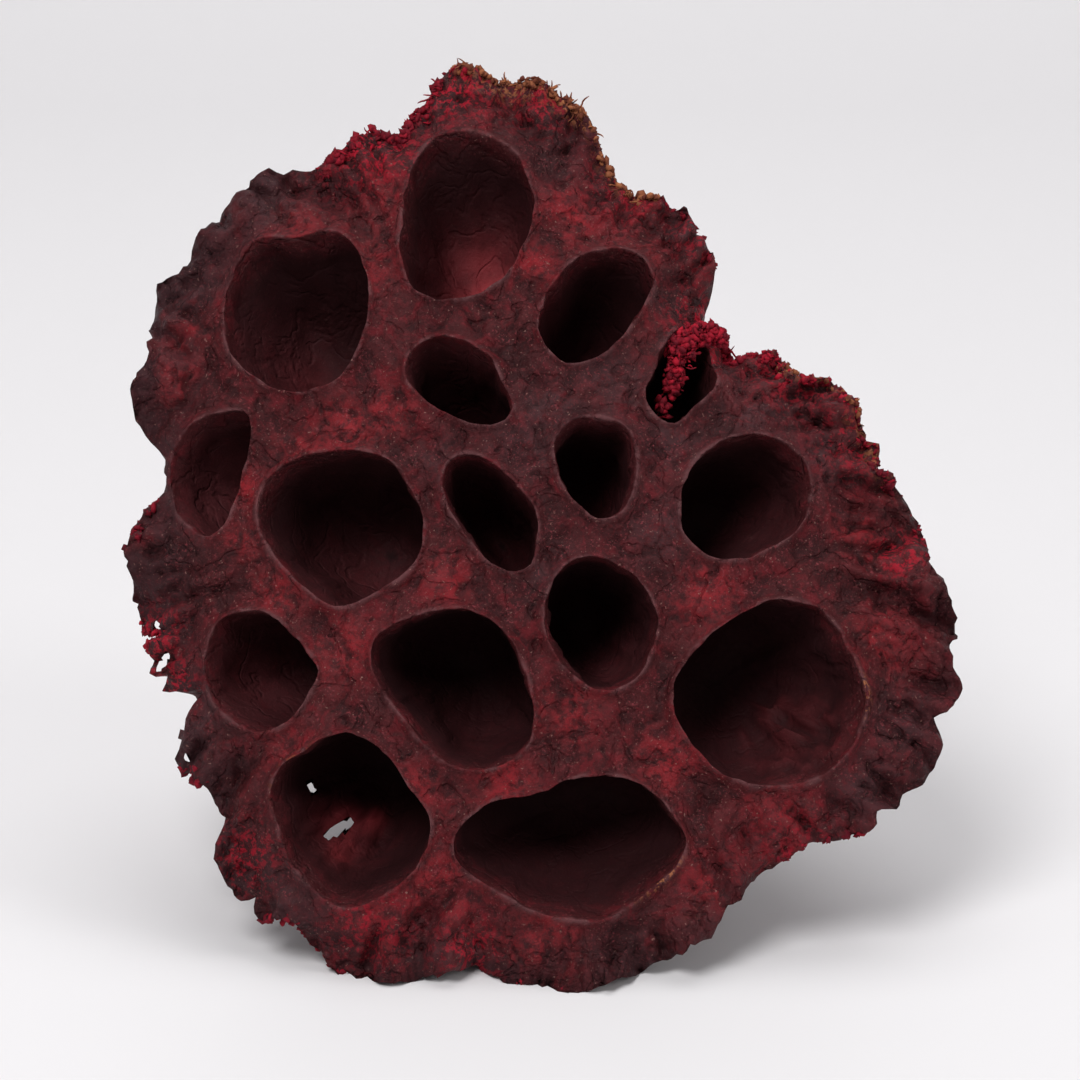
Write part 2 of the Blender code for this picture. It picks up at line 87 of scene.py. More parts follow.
MOUTH_BEARINGS = tuple(range(0, 360, 30))
MOUTH_OUTLINE_STEPS = 48

# The face's ragged edge: reach from the middle of the face at each angle, degrees from +u.
EDGE = (
    (0, 48.4), (15, 44.1), (25, 42.3), (30, 38.8), (36, 37.5), (41, 33.4), (46, 35.3), (51, 33.2),
    (55, 39.8), (60, 43.8), (68, 45.8), (80, 49.3), (85, 56.5), (95, 59.6), (101, 61.8), (106, 56.2),
    (109, 54.2), (114, 55.8), (122, 55.3), (129, 59.2), (136, 57.6), (145, 58.3), (155, 55.5),
    (165, 53.2), (171, 48.8), (176, 47.6), (182, 51.8), (197, 51.6), (203, 52.6), (208, 49.6),
    (213, 54.2), (223, 54.4), (228, 59.4), (240, 60.0), (248, 62.2), (254, 62.2), (261, 57.8),
    (270, 59.7), (279, 59.9), (292, 57.2), (307, 53.0), (314, 56.8), (330, 58.4), (345, 54.8),
    (356, 50.0),
)
EDGE_THICKNESS = 1.3
EDGE_SCALLOPS = 29
EDGE_SCALLOP_HEIGHT = 0.5
EDGE_SCALLOP_SWAY = (2.0, 9.0)

# The edge's teeth, fray and nicks, read from noise on a ring: height, size and where in the noise.
EDGE_NOISE_RING = 54.0
EDGE_TEETH = (0.9, 3.6, 7.3)
EDGE_FRAY = (0.75, 1.9, 2.9)
EDGE_FRAY_SHARES = (0.7, 0.3)
EDGE_NICKS = (0.5, 6.0, 0.9)
EDGE_NICK_SHARPNESS = 9
EDGE_ROOM = 0.8

# Tears into the rim: bearing in degrees, depth in millimetres, half width in degrees.
EDGE_TEARS = (
    (196.8, 2.2, 0.9), (203.6, 2.6, 0.6), (207.8, 3.4, 0.7), (212.6, 1.6, 0.6), (217.0, 1.3, 0.6),
    (224.6, 2.2, 1.0), (234.0, 1.6, 0.6), (263.0, 1.3, 1.2), (150.2, 0.9, 0.8), (318.5, 1.4, 1.0),
    (333.0, 1.0, 0.8), (9.0, 1.3, 0.6), (14.5, 1.0, 0.6),
)

# How the face bows: its middle stands proud of its edge, most on the left.
FACE_DROP = 6.0
FACE_DROP_TO_LEFT = 2.4
FACE_BOW = 2.4
FACE_SWELL = 1.1
FACE_SWELL_LENGTHS = (10.5, 12.0)
FACE_SWELL_PHASES = (0.6, -0.4)
LIP_HEIGHT = 1.5
LIP_WIDTH = 1.25
LIP_CREST = 0.45
FINE_LIP_HEIGHT = 0.75
FINE_LIP_WIDTH = 0.5
FINE_LIP_CREST = 0.12
LIP_RINGS = (0.16, 0.36, 0.62, 0.95, 1.35)
WEB_RISE = 0.9
WEB_RISE_WIDTH = 4.0
CRUMPLE_HEIGHT = 1.5
CRUMPLE_GAPS = (2.5, 7.0)
CRUMPLE_SHARES = (0.7, 0.9)
CRUMPLE_WAVES = ((31, 0.6, 9.0), (19, 0.5, -14.0), (47, 0.35, 0.0))
CRUMPLE_WANDER = ((5, 2.2), (1, 1.3), (3, 3.0))

# Relief that the solid leaves out. Where the margin, the webs and the curl start and are full: the gap
# to the nearest mouth, and the share of the way out to the edge.
MARGIN_GAPS = (1.2, 4.5)
MARGIN_SHARES = (0.66, 0.86)
WEB_GAPS = (0.5, 1.6)
CURL_SHARES = (0.86, 1.0)
# The margin's folds and pleats run outwards: noise on a ring, drawn out along the spokes.
SPOKE_RING = 27.0
SPOKE_LENGTH = 10.0
SPOKE_SWAY = (0.45, 6.0, (1.1, 4.9, 7.7))
MARGIN_FOLD_HEIGHT = 2.4
MARGIN_FOLDS = (3.3, 1.7)
MARGIN_FOLD_LEVEL = 0.55
# Pleats: size, octaves, stretch and where in the noise, then their least and further height.
PLEATS = (0.7, 2, (1.0, 1.0, 2.0), 6.1)
PLEAT_HEIGHTS = (0.12, 0.55)
PLEATED_SIDE = 20.0
# Sharp grooves: depth, distance apart, sharpness and where in the noise.
MARGIN_KINKS = (1.2, 4.4, 4, 5.2)
MARGIN_CRINKLE = (0.7, 2.4, 3, 3.9)
WEB_GROOVES = (0.7, 4.6, 6, 2.6)
WEB_WRINKLES = (0.28, 2.3, 4, 6.6)
WALL_GROOVES = (0.5, 6.5, 5, 8.1)
RUMPLE_GROOVES = (1.0, 4.0, 2, 4.3)
# Soft lumps: height, size, octaves and where in the noise.
MARGIN_CURL = (2.6, 7.0, 2, 8.8)
WEB_LUMPS = (0.6, 6.0, 2, 0.8)
LIP_LUMPS = (0.45, 4.4, 3, 4.4)
LIP_RAYS = (0.34, 1.2, 2, 3.7)
LIP_RAYS_AT = 1.2
LIP_RAYS_WIDTH = 1.9
# Lumps drawn out along the pod's axis: height, size, octaves, stretch and where in the noise.
WALL_LUMPS = (0.85, 8.0, 2, 2.2, 3.3)
BODY_WRINKLES = ((0.55, 7.0, 3, 3.5, 1.2), (0.10, 1.6, 2, 3.0, 2.2))
# Creases along it: height, distance apart, squeeze and where in the noise.
BODY_CREASES = (0.30, 3.2, 0.3, 4.7)
STALK_CREASES = (0.22, 1.6, 0.15, 3.9)

# The torn corner of the broken cell: where it is, how wide, and how far the wall is worn down.
TEAR = (25.5, 24.5)
TEAR_WIDTH = 7.5
TEAR_DEPTH = 5.0

# Cells taper towards one point behind the face, and each closes in a rounded floor.
CELL_APEX = 88.0
CELL_SECTIONS = ((0.05, 1.0), (0.22, 1.01), (0.45, 0.97), (0.68, 0.86), (0.86, 0.66), (0.96, 0.38))
CELL_WALL = 1.5
BULGE_FALLOFF = 14.0

# The body behind the face, as depth behind it and share of its girth, from bowl to stalk.
SKIRT_WIDTH = 4.2
SKIRT_LEAST = 1.0
SKIRT_ROOT_DEPTH = 3.0
SKIRT_SECTIONS = (0.03, 0.15, 0.3, 0.45, 0.6, 0.8, 1.0)
SKIRT_EDGE_SHARE = 0.4
BODY = (
    (5.5, 1.0), (9.0, 0.985), (13.0, 0.955), (18.0, 0.895), (24.0, 0.805), (30.5, 0.69), (37.5, 0.565),
    (45.0, 0.43), (52.0, 0.315), (58.5, 0.23), (63.5, 0.178), (66.0, 0.172), (67.5, 0.185),
    (69.0, 0.168), (71.5, 0.115), (75.0, 0.096),
)
BODY_MEAN_GIRTH = 50.0
BODY_ROUND_BY = 48.0
BODY_GIRTH_WINDOW = (-12.0, -8.0, -4.0, 0.0, 4.0, 8.0, 12.0)
BODY_BEHIND_EDGE = 0.7
BODY_RIBS = 21
BODY_RIBS_SWAY = (1.6, 4)
BODY_FINE_RIBS = 34
BODY_FINE_RIBS_SHARE = 0.5
BODY_FINE_RIBS_LEAN = 14.0
BODY_RIB_HEIGHT = 0.75
BODY_RIBS_FULL = 12.0
BODY_RIBS_GIRTH = 30.0
BULGE_REACH = 14.0
BODY_SLENDER_GIRTH = 25.0

STALK_RADIUS = 4.5
STALK_FROM = 80.0
STALK_END = 97.0
STALK_BEND = (2.0, -1.2)
STALK_BEND_FROM = 60.0
STALK_GROOVES = 5
STALK_GROOVE_DEPTH = 0.04
STALK_GROOVE_LEAN = 25.0
# Bumps on the stalk: height, size, the level that they rise from and where in the noise.
STALK_BUMPS = (0.8, 1.8, 0.25, 6.6)
# Roughness of the cut: height, size, octaves and where in the noise.
CUT_ROUGHNESS = (0.18, 1.1, 2, 5.5)
CUT_STEP = 0.5
CUT_SPACING = 0.25
CUT_CANAL_SPACING = 0.12
CUT_TAN = 0.6
CANAL_LIP_TAN = 0.5
# Depth at which a canal's painted shade is full.
CANAL_DARK_BY = 2.0
CANAL_RING = 2.55
CANAL_RADIUS = 0.78
CANAL_DEPTH = 5.0
CANAL_SECTIONS = (0.2, 0.6, 1.5, 3.0, CANAL_DEPTH)
CANAL_TAPER = 0.03
CANALS = 7
CANAL_SIDES = 16

# How it lies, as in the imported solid: on two lobes of its rim and on the stalk's end.
COARSE_EDGE_STEPS = 144
COARSE_STALK_STEPS = 36
COARSE_MOUTH_STEP = 2.9
LOBE_SPLIT = -8.0
SETTLE_ROUNDS = 12
SINK = 0.75

# How finely the skin is divided.
EDGE_STEPS = 600
MOUTH_STEP = 0.7
FACE_STEP = 0.52
FACE_ROW_STEP = 0.866
FACE_JITTER = 0.18
FACE_LIMIT = 66.0
FACE_REACH = 64.5
EDGE_SPACING = 0.35
LIP_SPACING = 0.5
LIP_EDGE_SPACING = 0.3
MOUTH_REACH = 18.0
MOUTH_NEAR = 27.0
CELL_RINGS = 18
CELL_RING_SPAN = (0.985, 0.006)
BODY_RINGS = 60
LEAST_RING_STEP = 0.3
HALF_RINGS_FROM = 40.0
QUARTER_RINGS_FROM = 60.0
STALK_RINGS = 26
MOUTH_RAGGED = 0.32
# The raggedness of the mouths: size, octaves and where in the noise.
MOUTH_LUMPS = (3.2, 3, 3.1)
SEED = 16
FAR = 30.0
NOISE_DECAY = 0.9
NOISE_STEP = 2.0
CREASE_GAIN = 2.2
LEAST_REACH = 0.1
MEET_WITHIN = 1e-6


def closed_curve(knots, values, angle):
    """A smooth closed curve through values at knots, in degrees, read at any angles."""
    turn = 360.0
    knots = np.concatenate([np.subtract(knots, turn), knots, np.add(knots, turn)])
    values = np.tile(np.asarray(values, float), 3)
    slopes = np.gradient(values, knots)
    angle = np.mod(angle, turn)
    i = np.searchsorted(knots, angle, side="right") - 1
    span = knots[i + 1] - knots[i]
    t = (angle - knots[i]) / span
    rest = 1.0 - t
    return (values[i] * (1 + 2 * t) * rest**2 + slopes[i] * span * t * rest**2
            + values[i + 1] * (3 - 2 * t) * t**2 - slopes[i + 1] * span * rest * t**2)


def rough(points, size, octaves=3, stretch=(1.0, 1.0, 1.0), shift=0.0):
    """Fractal noise at 3-D points in millimetres, with lumps about size across."""
    scaled = np.asarray(points) / (size * np.asarray(stretch)) + shift
    return np.array([noise.fractal(p, NOISE_DECAY, NOISE_STEP, octaves) for p in scaled.tolist()])


def flat_rough(points, size, octaves=3, shift=0.0):
    """The same at points (u, v) of the face."""
    points = np.asarray(points)
    return rough(np.column_stack([points, np.zeros(len(points))]), size, octaves, shift=shift)


def creases(points, size, shift=0.0):
    """Sharp folds between soft lumps: 0 in the folds, near 1 on the lumps."""
    points = np.asarray(points)
    if points.shape[1] == 2:
        points = np.column_stack([points, np.zeros(len(points))])
    return np.clip(np.abs(rough(points, size, 2, shift=shift)) * CREASE_GAIN, 0.0, 1.0)


def grooves(points, depth, apart, sharpness, shift):
    """How deep sharp grooves go between soft lumps."""
    return depth * (1.0 - creases(points, apart, shift))**sharpness


def lumps(points, height, size, octaves, shift):
    """How high soft lumps stand at points (u, v) of the face."""
    return height * flat_rough(points, size, octaves, shift)


def drawn_out(points, height, size, octaves, stretch, shift):
    """How high lumps stand that are drawn out along the pod's axis."""
    return height * rough(points, size, octaves, (1.0, 1.0, stretch), shift)


def long_creases(points, height, apart, squeeze, shift):
    """The same for creases along the axis, about their middle level."""
    return height * (creases(points * [1.0, 1.0, squeeze], apart, shift) - 0.5)


def sway(points, amount, size, shifts):
    """How far noise moves points (u, v), along an axis for each shift."""
    return amount * np.column_stack([flat_rough(points, size, 2, shift) for shift in shifts])


def polar(angle, reach):
    angle = np.radians(angle)
    return np.stack([reach * np.cos(angle), reach * np.sin(angle)], axis=-1)


def around(count):
    return np.arange(count) * 360.0 / count


def edge_reach(angle):
    """How far the face reaches from its middle at each angle, in degrees."""
    ragged = closed_curve([a for a, _ in EDGE], [r for _, r in EDGE], angle)
    wave = np.radians(angle) * EDGE_SCALLOPS
    swing, swings = EDGE_SCALLOP_SWAY
    return ragged + EDGE_SCALLOP_HEIGHT * np.sin(wave + swing * np.sin(wave / swings))


def edge_teeth(angle):
    """Small ragged teeth of the edge beyond its coarser outline."""
    place = polar(angle, EDGE_NOISE_RING)
    (teeth, teeth_size, teeth_shift), (fray, fray_size, fray_shift) = EDGE_TEETH, EDGE_FRAY
    nicks, nicks_size, nicks_shift = EDGE_NICKS
    whole, torn = EDGE_FRAY_SHARES
    frayed = whole + torn * spots(polar(angle, edge_reach(angle)), TORN_SPOTS)
    reach = teeth * np.clip(flat_rough(place, teeth_size, 2, teeth_shift), -1.0, 1.0)
    reach += fray * frayed * flat_rough(place, fray_size, 2, fray_shift)
    reach -= nicks * (1.0 - creases(place, nicks_size, nicks_shift))**EDGE_NICK_SHARPNESS
    for bearing, depth, width in EDGE_TEARS:
        aside = np.degrees(np.angle(np.exp(1j * np.radians(angle - bearing))))
        reach = reach - depth * np.exp(-(aside / width)**2)
    room = gaps_to_mouths(polar(angle, edge_reach(angle))).min(axis=0) - EDGE_ROOM
    return np.maximum(reach, -np.maximum(room, 0.0))


def mouth(cell, count, grow=0.0, ragged=0.0):
    """Points round a cell's mouth; grow moves them out from it and ragged by small lumps."""
    centre, reaches, _ = CELLS[cell]
    angle = around(count)
    curve = closed_curve(MOUTH_BEARINGS, 1.0 / np.asarray(reaches), angle)
    ring = np.asarray(centre) + polar(angle, 1.0 / curve)
    uneven = flat_rough(ring, *MOUTH_LUMPS) * ragged if ragged else 0.0
    return ring + polar(angle, uneven + grow)


def distance_to_ring(points, ring):
    step = np.roll(ring, -1, axis=0) - ring
    best = np.full(len(points), np.inf)
    for corner, side in zip(ring, step):
        away = points - corner
        along = np.clip(away @ side / (side @ side), 0.0, 1.0)
        away -= along[:, None] * side
        np.minimum(best, (away**2).sum(axis=1), out=best)
    return np.sqrt(best)


def inside(points, ring):
    """Which points lie inside a closed ring."""
    within = np.zeros(len(points), bool)
    x, y = points[:, 0], points[:, 1]
    for (x0, y0), (x1, y1) in zip(ring, np.roll(ring, -1, axis=0)):
        if y0 != y1:
            crosses = (y0 > y) != (y1 > y)
            within ^= crosses & (x < (x1 - x0) * (y - y0) / (y1 - y0) + x0)
    return within


def gaps_to_mouths(points):
    """Distance from each face point to each cell's mouth, where that is small."""
    gaps = np.full((len(CELLS), len(points)), FAR)
    for row, (cell, (centre, _, _)) in enumerate(CELLS.items()):
        near = np.hypot(points[:, 0] - centre[0], points[:, 1] - centre[1]) < MOUTH_NEAR
        if near.any():
            gaps[row, near] = distance_to_ring(points[near], mouth(cell, MOUTH_OUTLINE_STEPS))
    return gaps


def rise(values, limits):
    """0 up to the first limit, 1 from the second on, and straight between them."""
    low, high = limits
    return np.clip((values - low) / (high - low), 0.0, 1.0)


def edge_drop(angle):
    """How far the edge lies behind the middle of the face, at each angle in degrees."""
    return FACE_DROP - FACE_DROP_TO_LEFT * np.cos(np.radians(angle))


def face_height(points, gaps=None, lip_height=LIP_HEIGHT, lip_width=LIP_WIDTH, lip_crest=LIP_CREST):
    """How far the skin of the face stands out at points (u, v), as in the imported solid."""
    u, v = points[:, 0], points[:, 1]
    angle = np.degrees(np.arctan2(v, u))
    share = np.hypot(u, v) / edge_reach(angle)
    bow = -edge_drop(angle) * share**FACE_BOW
    (across, along), (u_phase, v_phase) = FACE_SWELL_LENGTHS, FACE_SWELL_PHASES
    swell = FACE_SWELL * np.sin(u / across + u_phase) * np.cos(v / along + v_phase)

    gaps = gaps_to_mouths(points) if gaps is None else gaps
    lips = lip_height * np.exp(-((gaps - lip_crest) / lip_width)**2)
    lips = lips + WEB_RISE * np.exp(-(gaps / WEB_RISE_WIDTH)**2)

    beyond = rise(gaps.min(axis=0), CRUMPLE_GAPS) * rise(share, CRUMPLE_SHARES)
    turn = np.radians(angle)
    crumple = 0.0
    for (waves, height, lean), (wander, swing) in zip(CRUMPLE_WAVES, CRUMPLE_WANDER):
        crumple = crumple + height * np.sin(waves * turn + swing * np.sin(wander * turn) + lean * share)
    tear = TEAR_DEPTH * np.exp(-((u - TEAR[0])**2 + (v - TEAR[1])**2) / TEAR_WIDTH**2)
    return bow + swell + lips.max(axis=0) + CRUMPLE_HEIGHT * beyond * crumple - tear


def toward_mouth(points, gaps):
    """For each face point, the point of the nearest mouth that it faces."""
    centres = np.array([centre for centre, _, _ in CELLS.values()])[gaps.argmin(axis=0)]
    away = points - centres
    reach = np.linalg.norm(away, axis=1)
    return centres + away * ((reach - gaps.min(axis=0)) / np.maximum(reach, LEAST_REACH))[:, None]


def fine_relief(points, gaps):
    """Wrinkles, pleats and folds of the face that the solid leaves out."""
    angle = np.degrees(np.arctan2(points[:, 1], points[:, 0]))
    share = np.hypot(points[:, 0], points[:, 1]) / edge_reach(angle)
    nearest = gaps.min(axis=0)
    margin = rise(nearest, MARGIN_GAPS) * rise(share, MARGIN_SHARES)
    web = rise(nearest, WEB_GAPS)

    spokes = np.column_stack([polar(angle, SPOKE_RING), share * SPOKE_LENGTH]) + sway(points, *SPOKE_SWAY)
    folded = MARGIN_FOLD_HEIGHT * (creases(spokes, *MARGIN_FOLDS) - MARGIN_FOLD_LEVEL)
    folded -= grooves(points, *MARGIN_KINKS) + grooves(points, *MARGIN_CRINKLE)
    least, more = PLEAT_HEIGHTS
    pleated = 0.5 + 0.5 * np.cos(np.radians(angle - PLEATED_SIDE))
    folded += (least + more * pleated**2) * rough(spokes, *PLEATS)
    folded += rise(share, CURL_SHARES)**2 * lumps(points, *MARGIN_CURL)

    rays = lumps(toward_mouth(points, gaps), *LIP_RAYS)
    on_web = rays * np.exp(-((nearest - LIP_RAYS_AT) / LIP_RAYS_WIDTH)**2) + lumps(points, *WEB_LUMPS)
    on_web -= grooves(points, *WEB_GROOVES) + grooves(points, *WEB_WRINKLES)
    on_web += fold_ridges(points + sway(points, *FOLD_SWAY), FACE_FOLDS)
    return margin * folded + web * on_web + (1.0 - web) * lumps(points, *LIP_LUMPS)


def fine_height(points):
    gaps = gaps_to_mouths(points)
    height = face_height(points, gaps, FINE_LIP_HEIGHT, FINE_LIP_WIDTH, FINE_LIP_CREST)
    return height + fine_relief(points, gaps)


def with_height(points, height=face_height):
    return np.column_stack([points, height(points)])


class Skin:
    """The points and faces of one closed skin, as they are laid down, with what each point shows."""

    # Some marks carry painted light and shade: depth in the hollows, the relief's crests, and the lit cell
    # floors and red-lit walls.
    MARKS = ("lip", "hollow", "glow", "flush", "rim", "torn", "tan", "ruddy", "ashen", "crest")

    def __init__(self):
        self.points = []
        self.faces = []
        self.marks = {mark: [] for mark in self.MARKS}

    def lay(self, points, **marks):
        points = np.asarray(points)
        first = len(self.points)
        self.points += points.tolist()
        for mark in self.MARKS:
            value = marks.get(mark, 0.0)
            self.marks[mark] += np.broadcast_to(value, (len(points),)).tolist()
        return list(range(first, len(self.points)))

    def join(self, ring, inner):
        """Faces between two rings; the inner one may have a whole share of the points."""
        ratio = len(ring) // len(inner)
        for j in range(len(inner)):
            here, there = inner[j], inner[(j + 1) % len(inner)]
            strip = [ring[(j * ratio + k) % len(ring)] for k in range(ratio + 1)]
            for a, b in zip(strip[:-1], strip[1:-1]):
                self.faces.append((a, b, here))
            self.faces.append((strip[-2], strip[-1], there, here))

    def close(self, ring, point, **marks):
        tip = self.lay([point], **marks)[0]
        for a, b in zip(ring, ring[1:] + ring[:1]):
            self.faces.append((a, b, tip))

    def fill(self, outer, holes, points):
        """Triangles between an outer ring and the holes in it, through points, seen along w."""
        rings = [outer] + holes
        order = [i for ring in rings for i in ring] + points
        place = np.array([self.points[i][:2] for i in order])
        sides = []
        first = 0
        for ring in rings:
            count = len(ring)
            sides += [(first + k, first + (k + 1) % count) for k in range(count)]
            first += count
        laid, _, faces, *_ = delaunay_2d_cdt([Vector(p) for p in place.tolist()], sides, [], 0, MEET_WITHIN)
        if len(laid) != len(order):
            raise ValueError("rings or points of a filled face meet")
        middles = place[np.array(faces)].mean(axis=1)
        wanted = inside(middles, np.array([self.points[i][:2] for i in outer]))
        for hole in holes:
            wanted &= ~inside(middles, np.array([self.points[i][:2] for i in hole]))
        self.faces += [tuple(order[i] for i in face) for face, keep in zip(faces, wanted) if keep]


# Where the skin is torn and shows its bright dyed fibres: (u, v), spread, strength.
TORN_SPOTS = (
    ((-22.0, 50.0), 6.0, 1.0), ((-11.0, 57.5), 5.0, 0.9), ((0.0, 56.0), 4.0, 0.6),
    ((21.0, 25.0), 5.0, 1.0), ((33.0, 20.0), 6.0, 0.7), ((40.0, 10.0), 4.5, 0.6),
    ((46.0, -4.5), 3.0, 0.9), ((-48.5, -15.0), 3.5, 0.8), ((-46.0, -21.0), 3.0, 0.8),
    ((-36.0, -43.0), 4.0, 0.6), ((-8.0, -55.0), 4.0, 0.6), ((22.0, 38.0), 5.0, 0.5),
    ((12.0, 45.0), 5.0, 0.6), ((33.0, -42.0), 5.0, 0.4), ((-20.0, -52.0), 5.0, 0.5),
)
RUDDY_SPOTS = (
    ((-31.6, 38.0), 4.5, 0.9), ((-22.0, 41.5), 4.5, 0.9), ((-20.9, 32.0), 3.5, 0.8), ((4.1, 40.0), 4.5, 1.0),
    ((11.7, 41.0), 5.0, 1.0), ((15.8, 36.0), 3.5, 0.7), ((-0.5, 32.0), 3.0, 1.0), ((-24.0, 10.7), 4.0, 0.9),
    ((-30.0, 9.2), 3.5, 1.0), ((-37.5, 3.4), 3.0, 1.0), ((-18.8, 12.8), 3.5, 1.0), ((-43.5, 26.0), 4.5, 0.6),
    ((-46.0, 18.0), 3.5, 0.7), ((-37.2, -3.6), 3.0, 0.8), ((-32.6, -10.4), 3.5, 0.8),
    ((-23.9, -17.7), 4.5, 0.8), ((-30.5, -30.2), 3.5, 0.6), ((-11.2, -9.3), 3.5, 0.8),
    ((-14.8, -35.4), 3.5, 0.7), ((-3.6, -34.3), 4.0, 0.9), ((4.1, -26.0), 4.5, 0.8),
    ((16.8, -31.5), 4.5, 1.0), ((-11.2, -47.9), 5.5, 0.9), ((-19.9, -52.5), 3.5, 1.0),
    ((1.5, -54.6), 4.5, 1.0), ((22.9, -46.3), 4.5, 1.0), ((21.0, -9.8), 4.5, 0.9), ((41.6, -0.4), 4.0, 0.9),
    ((44.4, -16.3), 4.5, 0.9), ((30.5, -40.1), 5.0, 1.0), ((-5.0, 57.0), 4.0, 0.5),
)
ASHEN_SPOTS = (
    ((19.4, 38.3), 3.5, 1.0), ((12.0, 14.5), 5.0, 0.6), ((16.8, 29.5), 3.0, 0.8), ((28.3, 14.3), 5.0, 0.9),
    ((46.0, -25.8), 4.0, 0.9), ((41.6, -35.0), 4.5, 0.9), ((-31.8, -50.0), 5.0, 0.9),
    ((-46.9, -6.2), 5.0, 0.9), ((-8.6, -55.7), 3.0, 0.8), ((11.7, -56.7), 4.5, 0.8),
    ((-36.0, 42.0), 6.0, 1.0), ((-46.0, 31.0), 6.0, 1.0), ((-50.0, 20.0), 4.0, 1.0),
    ((-43.0, -27.0), 5.0, 0.9), ((-11.0, 58.0), 3.0, 0.8), ((-1.0, 8.5), 4.0, 0.8), ((1.5, 13.0), 4.5, 0.8),
    ((33.0, 19.0), 4.0, 0.8), ((2.0, 48.0), 4.5, 0.7), ((16.0, -3.0), 4.5, 0.8), ((36.5, 8.0), 4.0, 0.9),
    ((1.0, -7.5), 4.0, 0.7), ((16.6, 9.0), 3.5, 0.8), ((8.0, 17.5), 3.5, 0.7), ((-12.5, 6.5), 3.0, 0.6),
)
TAN_SPOTS = (
    ((-4.0, 59.5), 5.0, 1.0), ((5.0, 55.0), 4.0, 1.0), ((10.0, 48.0), 3.5, 0.9),
    ((41.0, -23.0), 2.4, 1.0), ((16.5, -46.5), 3.0, 1.0), ((41.5, 9.0), 4.0, 0.8),
    ((35.0, 19.0), 4.0, 0.5), ((-30.0, -33.0), 3.0, 0.4),
)


CRUMB_SIZE = 0.62
CRUMB_SIZES = (0.4, 1.5)
CRUMB_STRETCH = (0.25, 1.0)
CRUMB_LUMPS = (0.45, 1.35)
# Torn pith along the edge: from and to which angle, how many crumbs, how far out and how far back,
# and how bright: each crumb's tone is random in this range, set lower where the pith lies in shadow, as
# painted shade.
CRUMB_RUNS = (
    (112.5, 121.5, 750, (-1.9, -0.3), (0.0, 3.0), (0.0, 0.6)),
    (105.5, 112.5, 960, (-1.3, 1.2), (0.0, 3.4), (0.0, 0.6)),
    (99.0, 105.5, 420, (-1.5, 0.1), (0.0, 2.6), (0.0, 0.8)),
    (36.0, 47.0, 780, (-2.4, 0.2), (0.0, 2.6), (0.2, 1.0)),
    (20.0, 36.0, 490, (-1.9, -0.1), (0.0, 2.0), (0.0, 1.0)),
    (4.0, 20.0, 290, (-1.4, -0.3), (0.0, 1.8), (0.0, 0.7)),
    (354.0, 362.0, 160, (-1.6, -0.2), (0.2, 2.4), (0.0, 0.8)),
    (177.0, 184.0, 80, (-1.3, -0.2), (0.2, 1.4), (0.0, 0.5)),
    (193.5, 199.0, 160, (-0.9, 0.1), (0.2, 1.6), (0.2, 0.9)),
    (214.5, 219.0, 70, (-0.9, 0.0), (0.2, 1.6), (0.0, 0.6)),
    (236.0, 250.0, 90, (-1.0, 0.0), (0.4, 1.8), (0.0, 0.6)),
    (262.0, 276.0, 70, (-1.0, -0.1), (0.4, 1.8), (0.0, 0.6)),
    (304.0, 316.0, 70, (-1.0, -0.1), (0.4, 1.6), (0.0, 0.6)),
    (56.0, 72.0, 130, (-1.0, -0.2), (0.2, 1.6), (0.0, 0.6)),
)
# The tan pith along the edge, in the same way.
TAN_CRUMB_RUNS = (
    (84.0, 101.0, 330, (-1.3, 0.25), (-0.5, 1.8), (0.0, 1.0)),
    (70.0, 86.0, 170, (-1.2, 0.1), (-0.5, 1.6), (0.0, 1.0)),
    (18.0, 34.0, 60, (-1.4, 0.0), (-0.6, 1.4), (0.0, 1.0)),
)
# Torn pith inside the edge: (u, v, w), spread each way, how many crumbs, and how bright, in the same way.
CRUMB_CLUMPS = (
    ((21.2, 24.2, -4.2), (3.2, 1.5, 1.6), 490, (0.1, 1.0)),
    ((18.2, 22.4, -3.8), (2.3, 2.4, 1.4), 340, (0.0, 0.9)),
    ((17.4, 18.2, -4.2), (1.5, 2.6, 1.2), 170, (0.1, 1.0)),
    ((16.0, 14.6, -4.6), (0.8, 1.7, 1.0), 50, (0.0, 0.8)),
)
FIBRE_SIDES = 4
FIBRE_THICKNESS = 0.13
FIBRE_STEP = 0.45
FIBRE_LEAST_STEPS = 6
FIBRE_FIRST_BEND = 0.6
FIBRE_BEND_KEPT = 0.8
FIBRE_BEND = 0.3
FIBRE_TAPER = (0.15, math.pi - 0.1)
FIBRE_OUT = (-0.9, 0.1)
FIBRE_BACK = (-0.3, 0.9)
FIBRE_SPLAY = 0.3
FIBRE_TONES = (0.3, 1.0)
# How far inside the edge the height is read for what stands along it.
EDGE_INSET = 0.4
# Fibres along the edge: from and to which angle, how many and how long; in clumps: (u, v, w), spread
# each way, how many and how long.
RED_FIBRE_RUNS = ((99.0, 121.0, 30, (1.0, 2.6)), (34.0, 46.0, 10, (1.0, 3.0)))
RED_FIBRE_CLUMPS = (
    ((20.6, 24.2, -4.2), (0.9, 0.5, 0.5), 14, (0.8, 1.6)),
    ((18.0, 20.6, -3.8), (0.5, 1.5, 0.4), 26, (0.8, 1.8)),
)
TAN_FIBRE_RUNS = (
    (84.0, 101.0, 46, (0.8, 2.2)), (70.0, 86.0, 22, (0.8, 2.2)), (16.0, 34.0, 10, (0.6, 1.4)),
)


def spots(points, places):
    """How strongly points (u, v) fall in the spots."""
    total = np.zeros(len(points))
    for (u, v), spread, strength in places:
        near = np.exp(-((points[:, 0] - u)**2 + (points[:, 1] - v)**2) / spread**2)
        np.maximum(total, strength * near, out=total)
    return total
